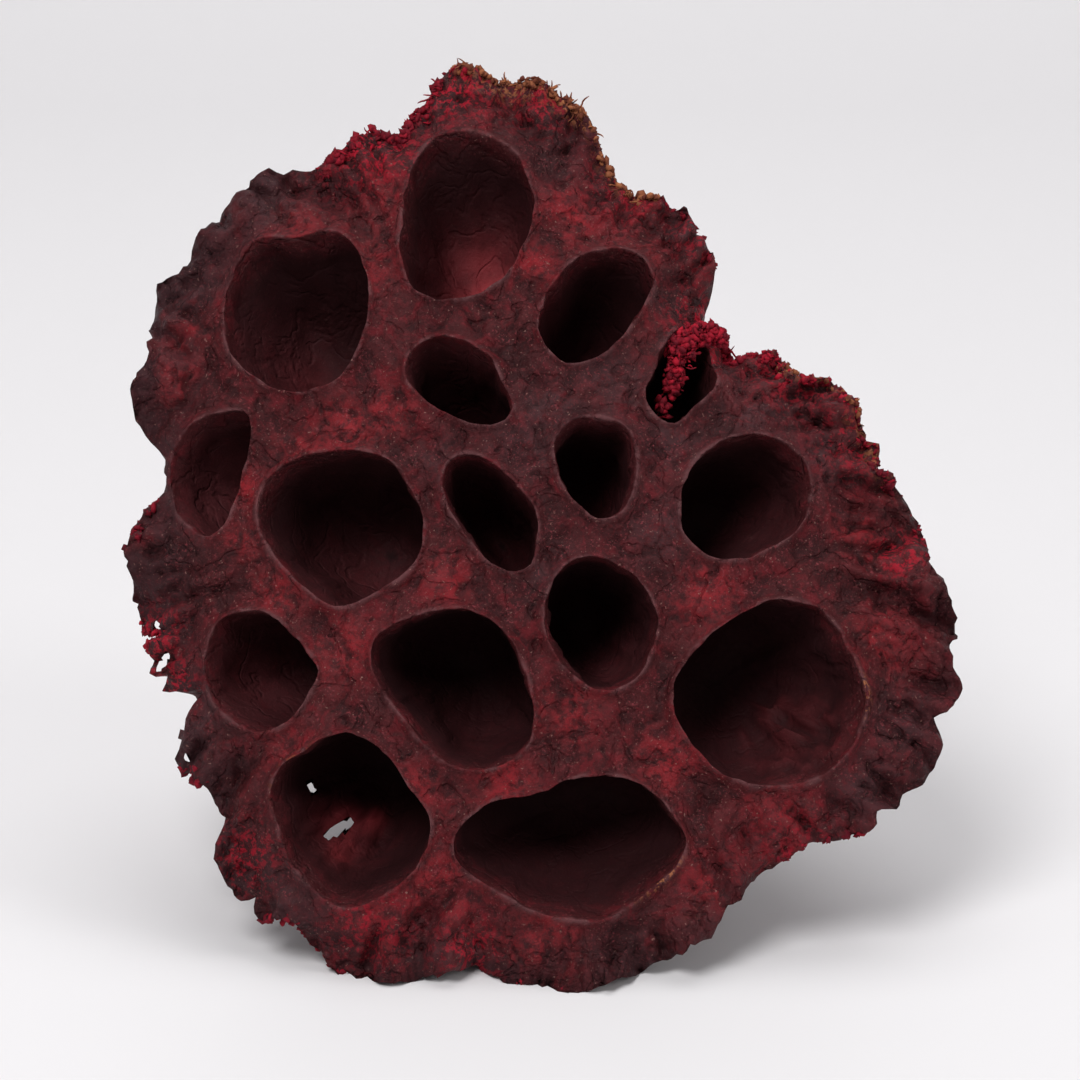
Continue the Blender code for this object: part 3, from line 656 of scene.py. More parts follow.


# The marks of the face: the lip's lies near its mouth, and the others start and are full at shares of
# the way out to the edge. Crests show the relief, less at the margin; the skin is painted darker in its
# hollows as painted shade and paler on its crests as painted highlight.
LIP_MARK_AT = 0.1
LIP_MARK_WIDTH = 0.4
RIM_SHARES = (0.82, 0.98)
RIM_MARKS = (0.25, 0.75)
RIM_MARKED_SIDE = 15.0
TORN_SHARES = (0.6, 0.9)
TAN_SHARES = (0.93, 0.98)
CREST_MIDDLE = 0.5
CREST_GAIN = 0.8
MARGIN_CREST_FROM = 0.85
MARGIN_CREST_GAIN = 0.35


def face_marks(points):
    """What the material needs to know about points of the face."""
    all_gaps = gaps_to_mouths(points)
    relief = fine_relief(points, all_gaps)
    gaps = all_gaps.min(axis=0)
    angle = np.degrees(np.arctan2(points[:, 1], points[:, 0]))
    share = np.hypot(points[:, 0], points[:, 1]) / edge_reach(angle)
    lip = np.exp(-((gaps - LIP_MARK_AT) / LIP_MARK_WIDTH)**2)
    leftness = 0.5 - 0.5 * np.cos(np.radians(angle - RIM_MARKED_SIDE))
    least, more = RIM_MARKS
    gain = np.where(share > MARGIN_CREST_FROM, MARGIN_CREST_GAIN, CREST_GAIN)
    return {"lip": lip, "rim": rise(share, RIM_SHARES) * (least + more * leftness),
            "torn": spots(points, TORN_SPOTS) * rise(share, TORN_SHARES),
            "tan": spots(points, TAN_SPOTS) * np.maximum(lip, rise(share, TAN_SHARES)),
            "ruddy": spots(points, RUDDY_SPOTS), "ashen": spots(points, ASHEN_SPOTS),
            "crest": CREST_MIDDLE + relief * gain}


def lay_face(skin):
    """The face with its mouths; gives back the edge ring and each cell's mouth ring."""
    rng = np.random.default_rng(SEED)
    angle = around(EDGE_STEPS)
    edge = polar(angle, edge_reach(angle) + edge_teeth(angle))
    mouths = []
    for cell, (_, reaches, _) in CELLS.items():
        count = 2 * round(math.pi * sum(reaches) / len(reaches) / MOUTH_STEP)
        mouths.append(mouth(cell, count, ragged=MOUTH_RAGGED))

    reach = int(FACE_LIMIT / FACE_STEP)
    column, row = np.meshgrid(np.arange(-reach, reach + 1), np.arange(-reach, reach + 1))
    points = np.column_stack([(column + 0.5 * (row % 2)).ravel(), (row * FACE_ROW_STEP).ravel()])
    points = (points + rng.uniform(-FACE_JITTER, FACE_JITTER, points.shape)) * FACE_STEP
    points = points[np.hypot(points[:, 0], points[:, 1]) < FACE_REACH]
    points = points[inside(points, edge)]
    points = points[distance_to_ring(points, edge) > EDGE_SPACING * FACE_STEP]
    for ring in mouths:
        near = np.hypot(*(points - ring.mean(axis=0)).T) < MOUTH_REACH
        close = points[near]
        spacing = LIP_RINGS[-1] + LIP_SPACING * FACE_STEP
        keep = ~inside(close, ring) & (distance_to_ring(close, ring) > spacing)
        points = np.concatenate([points[~near], close[keep]])
    lips = []
    for cell, ring in zip(CELLS, mouths):
        around_it = np.concatenate([mouth(cell, len(ring), grow, MOUTH_RAGGED) for grow in LIP_RINGS])
        fits = inside(around_it, edge) & (distance_to_ring(around_it, edge) > LIP_EDGE_SPACING * FACE_STEP)
        lips.append(around_it[fits])
    points = np.concatenate([points, *lips])

    edge_ring = skin.lay(with_height(edge, fine_height), **face_marks(edge))
    mouth_rings = [skin.lay(with_height(ring, fine_height), **face_marks(ring)) for ring in mouths]
    inner = skin.lay(with_height(points, fine_height), **face_marks(points))
    skin.fill(edge_ring, mouth_rings, inner)
    return edge_ring, mouth_rings


def cell_width(share):
    """A cell's width at a share of its depth, next to its mouth's."""
    shares = [0.0] + [s for s, _ in CELL_SECTIONS] + [1.0]
    widths = [1.0] + [w for _, w in CELL_SECTIONS] + [0.0]
    return float(np.interp(share, shares, widths))


def cell_section(ring, depth, share, width):
    middle = ring.mean(axis=0)
    apex = np.array([0.0, 0.0, -CELL_APEX])
    section = middle + (ring - middle) * width
    return apex + (section - apex) * (1.0 - share * depth / CELL_APEX)


# Folds of torn skin: from and to (u, v), half width and height in millimetres. They wander by noise:
# how far, its size and where in it.
FOLD_SWAY = (0.7, 3.4, (2.3, 7.1))
FACE_FOLDS = (
    ((22.6, 23.4), (25.2, 13.6), 0.75, 1.3), ((27.4, 22.0), (29.0, 16.2), 0.7, 1.1),
    ((31.6, 20.2), (35.4, 13.8), 0.75, 1.2), ((36.4, 15.6), (39.4, 8.4), 0.7, 1.0),
    ((-46.0, 33.0), (-38.0, 39.5), 0.7, 0.9), ((-50.5, 22.0), (-43.5, 31.0), 0.7, 0.8),
)
# Crumpled torn skin in the cells: (u, v), spread, height in millimetres.
CELL_RUMPLES = {"lower_right": (((32.5, -26.5), 5.0, 3.2),), "bottom_left": (((-22.5, -38.5), 4.5, 1.8),)}
# Painted red light on the crumpled skin, as far as it stands up.
RUMPLE_RED_LIGHT_PAINT = 0.07
RUMPLE_LEAN = 0.5
# How a cell's wall changes on its way down: where its relief is full and fades again, where the painted light
# on its floor and its painted red light are full, where its painted shade is dark (partly darker dye), and
# how the lip's pale dust and painted highlight and the crests' painted shade and highlight show on it.
WALL_FULL_BY = 2.0
WALL_FADE_RATE = 6.0
FLOOR_LIT_BY = 0.12
RED_LIGHT_PAINT_BY = 0.08
DARK_BY = 5.0
WALL_LIP_WIDTH = 0.4
WALL_CREST_GAIN = 0.4
LEAST_OUTWARD = 0.5
FLOOR_TIP = 0.1


def fold_ridges(points, lines):
    """How high folds stand along their lines at points (u, v)."""
    total = np.zeros(len(points))
    for start, end, width, height in lines:
        along = np.subtract(end, start)
        share = np.clip((points - start) @ along / (along @ along), 0.0, 1.0)
        aside = np.linalg.norm(points - start - share[:, None] * along, axis=1)
        np.maximum(total, height * np.exp(-(aside / width)**2), out=total)
    return total


# Painted light on each cell's wall and floor, a paler brown-red where light falls into it: (u, v), spread,
# strength.
LIGHT_PAINT_SPOTS = {
    "upper_left": ((-32.6, 21.6), 6.5, 0.4), "top": ((-7.5, 34.0), 7.0, 0.5),
    "upper_right": ((7.1, 20.5), 5.0, 0.35), "centre_top": ((-10.2, 17.5), 5.0, 0.3),
    "left_edge": ((-40.7, 3.4), 7.0, 0.6), "left": ((-21.4, -6.2), 7.0, 0.4),
    "centre": ((-6.1, 0.0), 6.0, 0.35), "centre_right": ((7.4, 3.4), 4.5, 0.3),
    "right": ((29.4, -1.6), 6.0, 0.2),
    "centre_low": ((10.6, -18.0), 5.0, 0.3), "lower_right": ((28.3, -27.6), 7.0, 0.14),
    "centre_low_left": ((-7.6, -28.1), 6.5, 0.14), "lower_left": ((-35.6, -20.3), 7.0, 0.5),
    "bottom_left": ((-25.0, -41.0), 7.0, 0.16), "bottom": ((4.1, -46.3), 8.0, 0.06),
    "broken": ((17.8, 14.0), 4.0, 0.1),
}
# Painted light: where cell walls are painted bright red where light falls on them.
RED_LIGHT_PAINT_SPOTS = (
    ((-5.6, 31.0), 4.2, 1.0), ((-7.0, 35.5), 4.0, 0.35), ((-24.4, -37.8), 2.6, 0.35),
    ((-20.6, -37.2), 1.4, 0.5), ((-24.2, -41.4), 1.6, 0.45), ((32.4, -29.6), 1.3, 0.10),
    ((-30.0, 20.5), 3.0, 0.08), ((7.4, 21.5), 2.6, 0.06),
)


def lay_cell(skin, cell, ring):
    """A cell's wrinkled wall from its mouth down to its floor."""
    depth = CELLS[cell][2]
    place = np.array([skin.points[i] for i in ring])
    span, first = CELL_RING_SPAN
    last = ring
    for k in range(1, CELL_RINGS + 1):
        share = math.sin(k / (CELL_RINGS + 1) * math.pi / 2)**2 * span + first
        down = share * depth
        section = cell_section(place, depth, share, cell_width(share))
        outward = section - section.mean(axis=0)
        outward /= np.maximum(np.linalg.norm(outward, axis=1), LEAST_OUTWARD)[:, None]
        fade = min(1.0, down / WALL_FULL_BY) * min(1.0, (1.0 - share) * WALL_FADE_RATE)
        lit = spots(section[:, :2], [LIGHT_PAINT_SPOTS[cell]]) * min(1.0, share / FLOOR_LIT_BY)
        flush = spots(section[:, :2], RED_LIGHT_PAINT_SPOTS) * min(1.0, share / RED_LIGHT_PAINT_BY)
        wall = drawn_out(section, *WALL_LUMPS) - grooves(section, *WALL_GROOVES)
        rumpled = spots(section[:, :2], CELL_RUMPLES.get(cell, ())) * fade
        rumpled *= grooves(section, *RUMPLE_GROOVES)
        raised = [0.0, 0.0, 1.0] - RUMPLE_LEAN * outward
        section = section + outward * (wall * fade)[:, None] + rumpled[:, None] * raised
        flush = np.maximum(flush, RUMPLE_RED_LIGHT_PAINT * np.minimum(rumpled, 1.0))
        # The wall darkens with depth as painted shade, partly darker dye, and is painted paler and red where
        # light falls on it.
        laid = skin.lay(section, hollow=min(1.0, down / DARK_BY) * (1.0 - lit), glow=lit, flush=flush,
                        lip=math.exp(-(down / WALL_LIP_WIDTH)**2),
                        crest=CREST_MIDDLE + wall * fade * WALL_CREST_GAIN)
        skin.join(last, laid)
        last = laid
    floor = np.array([skin.points[i] for i in last]).mean(axis=0)
    skin.close(last, floor - [0.0, 0.0, FLOOR_TIP], hollow=1.0)


def coarse_cell_walls():
    """The solid's own cell walls, which its body swells around."""
    walls = []
    for cell, (_, reaches, depth) in CELLS.items():
        count = 2 * round(math.pi * sum(reaches) / len(reaches) / COARSE_MOUTH_STEP)
        ring = with_height(mouth(cell, count))
        walls += [cell_section(ring, depth, share, width) for share, width in CELL_SECTIONS]
    return np.concatenate(walls)


def body_reach(angle, depth, share, cell_skin):
    """The body's reach from its axis; it swells where a cell comes near its skin."""
    girth = edge_reach(angle[:, None] + BODY_GIRTH_WINDOW).mean(axis=1) - SKIRT_WIDTH
    girth = np.minimum(girth, edge_reach(angle) - SKIRT_LEAST)
    roundness = min(1.0, depth / BODY_ROUND_BY)
    reach = (girth * (1.0 - roundness) + BODY_MEAN_GIRTH * roundness) * share
    turn = np.radians(angle)
    swing, swings = BODY_RIBS_SWAY
    ribs = np.sin(BODY_RIBS * turn + swing * np.sin(swings * turn))
    ribs += BODY_FINE_RIBS_SHARE * np.sin(BODY_FINE_RIBS * turn + depth / BODY_FINE_RIBS_LEAN)
    rising = min(1.0, (depth - BODY[0][0]) / BODY_RIBS_FULL)
    reach = reach + BODY_RIB_HEIGHT * rising * min(1.0, reach.mean() / BODY_RIBS_GIRTH) * ribs

    close = cell_skin[np.abs(depth + cell_skin[:, 2]) < BULGE_REACH]
    if len(close):
        cell_angle = np.arctan2(close[:, 1], close[:, 0])
        cell_reach = np.hypot(close[:, 0], close[:, 1])
        turned = np.angle(np.exp(1j * (turn[:, None] - cell_angle[None])))
        aside = (turned * cell_reach)**2 + (depth + close[:, 2])**2
        needed = (cell_reach + CELL_WALL - aside / BULGE_FALLOFF).max(axis=1)
        reach = np.maximum(reach, needed)
    return np.minimum(reach, edge_reach(angle) - BODY_BEHIND_EDGE)


def stalk_middle(depth):
    """Where the stalk's middle runs: it bends gently away from the pod's axis."""
    bend = np.clip((depth - STALK_BEND_FROM) / (STALK_END - STALK_BEND_FROM), 0.0, 1.0)**2
    return np.array(STALK_BEND) * bend


def stalk_grooved(angle, depth):
    """How the stalk's grooves scale its radius."""
    return 1.0 + STALK_GROOVE_DEPTH * np.sin(np.radians(angle) * STALK_GROOVES + depth / STALK_GROOVE_LEAN)


def lay_skirt(skin, edge, angle, root, level):
    """The edge's thickness and the skirt's underside, in to the body's root at its level."""
    flat_edge = polar(angle, edge_reach(angle) + edge_teeth(angle))
    torn = spots(flat_edge, TORN_SPOTS)
    last = edge
    for share in SKIRT_SECTIONS:
        place = flat_edge * (1 - share) + root * share
        thickness = EDGE_THICKNESS * min(1.0, SKIRT_EDGE_SHARE + share * 2)
        under = (fine_height(place) - thickness) * (1 - share) + level * share
        ring = skin.lay(np.column_stack([place, under]), rim=1 - share, torn=torn * (1 - share),
                        crest=CREST_MIDDLE)
        skin.join(last, ring)
        last = ring
    return last


def lay_body(skin, last, angle, level, cell_skin):
    """The ribbed body, from the skirt's root to the neck; its slender part has fewer points a ring."""
    depths, shares = zip(*BODY)
    drop = edge_drop(angle)
    length = depths[-1] - depths[0]
    for k in range(1, BODY_RINGS + 1):
        depth = depths[0] + length * (k / BODY_RINGS)
        share = float(np.interp(depth, depths, shares))
        fade = max(0.0, 1 - depth / BODY_ROUND_BY)
        level = np.minimum(-depth - drop * fade, level - length / BODY_RINGS * LEAST_RING_STEP)
        skip = 1 if depth < HALF_RINGS_FROM else 2 if depth < QUARTER_RINGS_FROM else 4
        some = angle[::skip]
        reach = body_reach(some, depth, share, cell_skin)
        place = np.column_stack([polar(some, reach), level[::skip]])
        wrinkle = sum(drawn_out(place, *wrinkles) for wrinkles in BODY_WRINKLES)
        wrinkle += long_creases(place, *BODY_CREASES)
        slender = min(1.0, reach.mean() / BODY_SLENDER_GIRTH)
        place[:, :2] += polar(some, wrinkle * slender) + stalk_middle(depth)
        ring = skin.lay(place, crest=CREST_MIDDLE + wrinkle * CREST_GAIN)
        skin.join(last, ring)
        last = ring
    return last


def lay_stalk(skin, last):
    """The stalk from the neck to its last ring."""
    angle = around(len(last))
    neck_depth, neck_share = BODY[-1]
    neck = neck_share * BODY_MEAN_GIRTH
    height, size, level, shift = STALK_BUMPS
    for k in range(1, STALK_RINGS + 1):
        depth = neck_depth + (STALK_END - neck_depth) * k / STALK_RINGS
        settle = min(1.0, (depth - neck_depth) / (STALK_FROM - neck_depth))
        reach = (neck * (1 - settle) + STALK_RADIUS * settle) * stalk_grooved(angle, depth)
        place = np.column_stack([polar(angle, reach), np.full(len(angle), -depth)])
        bumps = height * np.clip(rough(place, size, 2, shift=shift) - level, 0.0, 1.0)
        bumps += long_creases(place, *STALK_CREASES)
        place[:, :2] += polar(angle, bumps) + stalk_middle(depth)
        ring = skin.lay(place, crest=CREST_MIDDLE + bumps)
        skin.join(last, ring)
        last = ring
    return last


def lay_back(skin, edge):
    """Everything behind the face, from its edge ring to the stalk's last ring."""
    cell_skin = coarse_cell_walls()
    angle = around(EDGE_STEPS)
    depth, share = BODY[0]
    root = polar(angle, body_reach(angle, depth, share, cell_skin))
    level = -depth - edge_drop(angle) * (1 - depth / BODY_ROUND_BY)
    level = np.minimum(level, face_height(root) - SKIRT_ROOT_DEPTH)
    last = lay_skirt(skin, edge, angle, root, level)
    last = lay_body(skin, last, angle, level, cell_skin)
    return lay_stalk(skin, last)


def lay_cut_end(skin, ring):
    """The stalk's cut end, with the mouths of the air canals that run up it."""
    middle = stalk_middle(STALK_END)
    canals = []
    for turn in around(CANALS):
        centre = middle + polar(turn, CANAL_RING)
        opening = centre + polar(around(CANAL_SIDES), CANAL_RADIUS)
        last = skin.lay(np.column_stack([opening, np.full(CANAL_SIDES, -STALK_END)]), tan=CANAL_LIP_TAN)
        canals.append(last)
        for depth in CANAL_SECTIONS:
            section = centre + polar(around(CANAL_SIDES), CANAL_RADIUS * (1.0 - CANAL_TAPER * depth))
            # Each canal darkens with depth as painted shade.
            laid = skin.lay(np.column_stack([section, np.full(CANAL_SIDES, depth - STALK_END)]),
                            hollow=min(1.0, depth / CANAL_DARK_BY))
            skin.join(last, laid)
            last = laid
        skin.close(last, (*centre, CANAL_DEPTH - STALK_END), hollow=1.0)
    reach = round(STALK_RADIUS / CUT_STEP)
    steps = np.arange(-reach, reach + 1) * CUT_STEP
    column, row = np.meshgrid(steps, steps)
    points = np.column_stack([column.ravel(), row.ravel()]) + middle
    outer = np.array([skin.points[i][:2] for i in ring])
    keep = inside(points, outer) & (distance_to_ring(points, outer) > CUT_SPACING)
    for canal in canals:
        opening = np.array([skin.points[i][:2] for i in canal])
        keep &= ~inside(points, opening) & (distance_to_ring(points, opening) > CUT_CANAL_SPACING)
    points = points[keep]
    height = -STALK_END + lumps(points, *CUT_ROUGHNESS)
    inner = skin.lay(np.column_stack([points, height]), tan=CUT_TAN)
    skin.fill(ring, canals, inner)


def grow_pod():
    """The whole fine skin of the pod, in its own frame."""
    skin = Skin()
    edge_ring, mouth_rings = lay_face(skin)
    for cell, ring in zip(CELLS, mouth_rings):
        lay_cell(skin, cell, ring)
    last = lay_back(skin, edge_ring)
    lay_cut_end(skin, last)
    return skin


def lowest(points, up, wanted):
    """The lowest of the wanted points, along up."""
    chosen = points[wanted]
    return chosen[np.argmin(chosen @ up)]


def resting_turn():
    """Turn from the pod's own frame to how it lies, and how low its solid reaches then."""
    angle = around(COARSE_EDGE_STEPS)
    edge = with_height(polar(angle, edge_reach(angle)))
    stalk_angle = around(COARSE_STALK_STEPS)
    end = polar(stalk_angle, STALK_RADIUS * stalk_grooved(stalk_angle, STALK_END))
    end += stalk_middle(STALK_END)
    points = np.concatenate([edge, np.column_stack([end, np.full(len(end), -STALK_END)])])
    u, v, w = points.T
    on_rim = (w > -STALK_FROM / 2) & (v < 0)
    left, right = on_rim & (u < LOBE_SPLIT), on_rim & (u >= LOBE_SPLIT)
    stalk = w < -STALK_FROM
    up = np.array([0.0, 1.0, 0.0])
    for _ in range(SETTLE_ROUNDS):
        a, b, c = (lowest(points, up, wanted) for wanted in (left, right, stalk))
        up = np.cross(a - c, b - c)
        up *= math.copysign(1.0, up[1]) / np.linalg.norm(up)
    side = np.array([1.0, 0.0, 0.0]) - up[0] * up
    side /= np.linalg.norm(side)
    turn = np.column_stack([side, np.cross(up, side), up])
    return turn, float((points @ up).min())


TURN, LOWEST = resting_turn()


def laid_down(points, shift):
    """Points of the pod's own frame, in millimetres, where it lies, in metres."""
    laid = np.asarray(points) @ TURN
    laid[:, 2] -= LOWEST + SINK
    return (laid - shift) * MM


WORLD_COLOUR = (0.97, 0.98, 1.0, 1.0)
WORLD_STRENGTH = 0.33
# Lamps: name, place and size in metres, and power.
LAMPS = (
    ("key", (-0.35, -0.75, 1.05), 0.6, 11.5), ("top", (0.1, 0.15, 1.2), 0.9, 5.0),
    ("side", (0.95, -0.5, 0.55), 0.5, 3.0),
)
LAMP_AIM = (0.0, 0.0, 0.05)

# The pale sweep, in metres.
SWEEP_COLOUR = (0.74, 0.725, 0.735, 1.0)
SWEEP_ROUGHNESS = 0.55
SWEEP_REACH = 3.0
SWEEP_BEND_FROM = 0.45
SWEEP_BEND = 0.35
SWEEP_BEND_STEPS = 12

CAMERA_ELEVATION = 18.5
CAMERA_AZIMUTH = 0.0
CAMERA_LENS = 135.0
SENSOR = 36.0
FILL = 0.76
FRONT_SHARE = 0.25
AIM_SHARE = 0.48


def eye_direction():
    """From the pod towards the camera."""
    azimuth, elevation = math.radians(CAMERA_AZIMUTH), math.radians(CAMERA_ELEVATION)
    return Vector((math.sin(azimuth) * math.cos(elevation),
                   -math.cos(azimuth) * math.cos(elevation), math.sin(elevation)))


def eye_place(lo, hi):
    """Where the camera stands for a pod that fills the box from lo to hi."""
    tall = hi.z - lo.z
    front = Vector(((lo.x + hi.x) / 2, lo.y + FRONT_SHARE * (hi.y - lo.y), lo.z + tall * AIM_SHARE))
    return front + eye_direction() * (tall / FILL * CAMERA_LENS / SENSOR)


class Nodes:
    """Short calls for building one material's nodes."""

    def __init__(self, name):
        self.material = bpy.data.materials.new(name)
        self.material.use_nodes = True
        self.tree = self.material.node_tree
        self.surface = self.tree.nodes["Principled BSDF"]

    def make(self, kind, inputs=None, **settings):
        node = self.tree.nodes.new(kind)
        for name, value in settings.items():
            setattr(node, name, value)
        for key, value in (inputs or {}).items():
            self.feed(node.inputs[key], value)
        return node

    def feed(self, target, value):
        if isinstance(value, bpy.types.NodeSocket):
            self.tree.links.new(value, target)
        else:
            target.default_value = value

    def place(self):
        return self.make("ShaderNodeTexCoord").outputs["Object"]

    def mark(self, name):
        return self.make("ShaderNodeAttribute", attribute_name=name).outputs["Fac"]

    def noise(self, where, size, detail=4.0, roughness=0.55, distortion=0.0):
        """Noise with lumps about size millimetres across."""
        return self.make("ShaderNodeTexNoise", {
            "Vector": where, "Scale": 1.0 / (size * MM), "Detail": detail, "Roughness": roughness,
            "Distortion": distortion}).outputs["Fac"]

    def between(self, value, low, high, to_low=0.0, to_high=1.0):
        return self.make("ShaderNodeMapRange", {
            "Value": value, "From Min": low, "From Max": high, "To Min": to_low, "To Max": to_high},
            interpolation_type="SMOOTHSTEP").outputs["Result"]

    def creased(self, value, width):
        """0 along thin lines where the value is at its middle, 1 away from them."""
        away = self.maths("ABSOLUTE", self.maths("SUBTRACT", value, 0.5))
        return self.between(away, 0.0, width)

    def maths(self, operation, a, b=0.0):
        return self.make("ShaderNodeMath", {0: a, 1: b}, operation=operation).outputs[0]

    def mix_value(self, share, a, b):
        node = self.make("ShaderNodeMix", data_type="FLOAT")
        for socket, value in zip((0, 2, 3), (share, a, b)):
            self.feed(node.inputs[socket], value)
        return node.outputs[0]

    def mix(self, share, a, b):
        node = self.make("ShaderNodeMix", data_type="RGBA")
        self.feed(node.inputs[0], share)
        self.feed(node.inputs[6], a)
        self.feed(node.inputs[7], b)
        return node.outputs[2]

    def bump(self, height, distance, strength=1.0, normal=None):
        inputs = {"Height": height, "Distance": distance * MM, "Strength": strength}
        if normal is not None:
            inputs["Normal"] = normal
        return self.make("ShaderNodeBump", inputs).outputs["Normal"]

    def tinted(self, colour, drivers, tints):
        """The colour with tints over it in turn, each as far as its driver says."""
        for driver, low, high, most, tint in tints:
            colour = self.mix(self.between(drivers[driver], low, high, 0.0, most), colour, tint)
        return colour

    def patched(self, colour, where, tints):
        """The colour with tints over it in turn, each where its mark and its noise meet."""
        for mark, sizes, low, high, most, tint in tints:
            patch = self.between(self.noise(where, *sizes), low, high)
            share = self.maths("MULTIPLY", self.maths("MULTIPLY", self.mark(mark), patch), most)
            colour = self.mix(share, colour, tint)
        return colour


WEB = (0.050, 0.0080, 0.0095, 1.0)
WEB_RED = (0.130, 0.0090, 0.0140, 1.0)
WEB_DARK = (0.022, 0.0055, 0.0065, 1.0)
WEB_PALE = (0.105, 0.0170, 0.0200, 1.0)
MAUVE = (0.036, 0.0130, 0.0155, 1.0)
ASHEN = (0.050, 0.0210, 0.0240, 1.0)
LIP = (0.105, 0.0400, 0.0430, 1.0)
CRIMSON = (0.40, 0.008, 0.024, 1.0)
CRIMSON_DEEP = (0.085, 0.004, 0.010, 1.0)
TAN = (0.34, 0.120, 0.050, 1.0)
TAN_DEEP = (0.10, 0.022, 0.014, 1.0)
# Painted shade in the cells and canals, partly darker dye; painted light on the lit cell floors and bright
# red on the lit cell walls.
HOLLOW = (0.0170, 0.0038, 0.0046, 1.0)
LIGHT_PAINT = (0.115, 0.0290, 0.0330, 1.0)
RED_LIGHT_PAINT = (0.520, 0.0560, 0.0680, 1.0)
RUDDY = (0.250, 0.0150, 0.0210, 1.0)
SPECK = (0.26, 0.13, 0.11, 1.0)
FLECK = (0.180, 0.0330, 0.0400, 1.0)


# Tints of the skin: what drives each, where it starts and is full, its most and its colour.
GROUND_TINTS = (("patches", 0.48, 0.62, 0.6, WEB_RED), ("broad", 0.47, 0.62, 0.45, WEB_DARK))
# Relief tints: painted shade where the relief is low and along the wrinkles' grooves, painted highlight where
# it is high; the fine tints are random grain.
RELIEF_TINTS = (
    ("crest", 0.48, 0.12, 0.7, WEB_DARK), ("crest", 0.55, 0.95, 0.45, WEB_PALE),
    ("fine", 0.53, 0.66, 0.55, WEB_PALE), ("fine", 0.46, 0.34, 0.4, WEB_DARK),
    ("drawn", 1.0, 0.0, 0.22, WEB_DARK),
)
# Tints of marked places: mark, noise (size, detail, roughness), where in it the tint starts and is full,
# its most and its colour.
PATCH_TINTS = (
    ("ruddy", (1.5, 6.0, 0.7), 0.36, 0.60, 0.93, RUDDY), ("ashen", (2.0, 6.0, 0.7), 0.34, 0.54, 0.92, ASHEN),
)
# The pale mauve on lips is partly dust and partly painted highlight.
EDGE_TINTS = (
    ("rim", (5.0, 5.0), 0.36, 0.56, 0.8, MAUVE), ("lip", (3.5, 6.0, 0.7), 0.44, 0.60, 0.8, LIP),
    ("torn", (1.2, 6.0, 0.72), 0.48, 0.58, 1.0, CRIMSON), ("tan", (0.8, 4.0), 0.50, 0.60, 1.0, TAN),
)


# Noises of the skin: size in millimetres, detail, roughness and distortion.
SKIN_NOISES = {
    "broad": (8.0, 4.0), "patches": (2.4, 7.0, 0.66, 0.8), "fine": (0.55, 5.0, 0.70, 0.6),
    "drawn": (6.0, 3.0, 0.5, 0.4), "flecks": (0.42, 4.0, 0.65), "fleck_patches": (3.4, 3.0),
    "specks": (0.38, 3.0, 0.6), "clouds": (4.0, 4.0, 0.6), "gloss": (2.4, 4.0),
    "lumps": (1.4, 6.0, 0.64, 0.6), "pores": (0.30, 3.0, 0.6),
}
# From which value to which a noise counts and, where they aren't 0 and 1, what it gives there.
NOISE_LIMITS = {
    "flecks": (0.56, 0.66), "fleck_patches": (0.42, 0.62, 0.1, 0.75), "specks": (0.64, 0.72),
    "clouds": (0.3, 0.6, 0.45, 0.9), "gloss": (0.35, 0.7, 0.48, 0.72),
}
DRAWN_WIDTH = 0.045
SPECK_SHARE = 0.65
HOLLOW_SHARE = 0.95
HOLLOW_ROUGHNESS = 0.72
SKIN_SPECULAR = 0.1
# How strong the bumps are, how much of that is left in the cells, and their depth in millimetres.
BUMP_STRENGTH = 0.9
HOLLOW_BUMPS = 0.35
DRAWN_DEPTH = 0.25
LUMP_DEPTH = 0.36
PORE_DEPTH = 0.14


def skin_material():
    """Dull burgundy skin: red in its creases, mauve on rims and lips (partly painted highlight), near black
    in the cells (painted shade and darker dye), with painted shade and highlight on the relief and painted
    light on lit cell walls.
    """
    n = Nodes("dyed_pod")
    where = n.place()
    hollow = n.mark("hollow")
    noises = {name: n.noise(where, *sizes) for name, sizes in SKIN_NOISES.items()}
    limited = {name: n.between(noises[name], *limits) for name, limits in NOISE_LIMITS.items()}
    drawn = n.creased(noises["drawn"], DRAWN_WIDTH)
    drivers = {**noises, "drawn": drawn, "crest": n.mark("crest")}

    colour = n.tinted(WEB, drivers, GROUND_TINTS)
    colour = n.patched(colour, where, PATCH_TINTS)
    # Painted shade and highlight that follow the relief, and fine grain.
    colour = n.tinted(colour, drivers, RELIEF_TINTS)
    colour = n.mix(n.maths("MULTIPLY", limited["flecks"], limited["fleck_patches"]), colour, FLECK)
    colour = n.patched(colour, where, EDGE_TINTS)
    colour = n.mix(n.maths("MULTIPLY", limited["specks"], SPECK_SHARE), colour, SPECK)
    # Painted shade darkens the cells and canals to near black with depth, partly darker dye; painted light
    # makes the lit cell floors paler and the lit walls bright red.
    colour = n.mix(n.maths("MULTIPLY", hollow, HOLLOW_SHARE), colour, HOLLOW)
    colour = n.mix(n.maths("MULTIPLY", n.mark("glow"), limited["clouds"]), colour, LIGHT_PAINT)
    colour = n.mix(n.maths("MULTIPLY", n.mark("flush"), limited["clouds"]), colour, RED_LIGHT_PAINT)
    n.feed(n.surface.inputs["Base Color"], colour)
    n.feed(n.surface.inputs["Roughness"], n.mix_value(hollow, limited["gloss"], HOLLOW_ROUGHNESS))
    n.surface.inputs["Specular IOR Level"].default_value = SKIN_SPECULAR

    strength = n.maths("MULTIPLY", n.mix_value(hollow, 1.0, HOLLOW_BUMPS), BUMP_STRENGTH)
    wrinkles = n.bump(drawn, DRAWN_DEPTH, strength)
    lumpy = n.bump(noises["lumps"], LUMP_DEPTH, strength, wrinkles)
    n.feed(n.surface.inputs["Normal"], n.bump(noises["pores"], PORE_DEPTH, strength, lumpy))
    return n.material


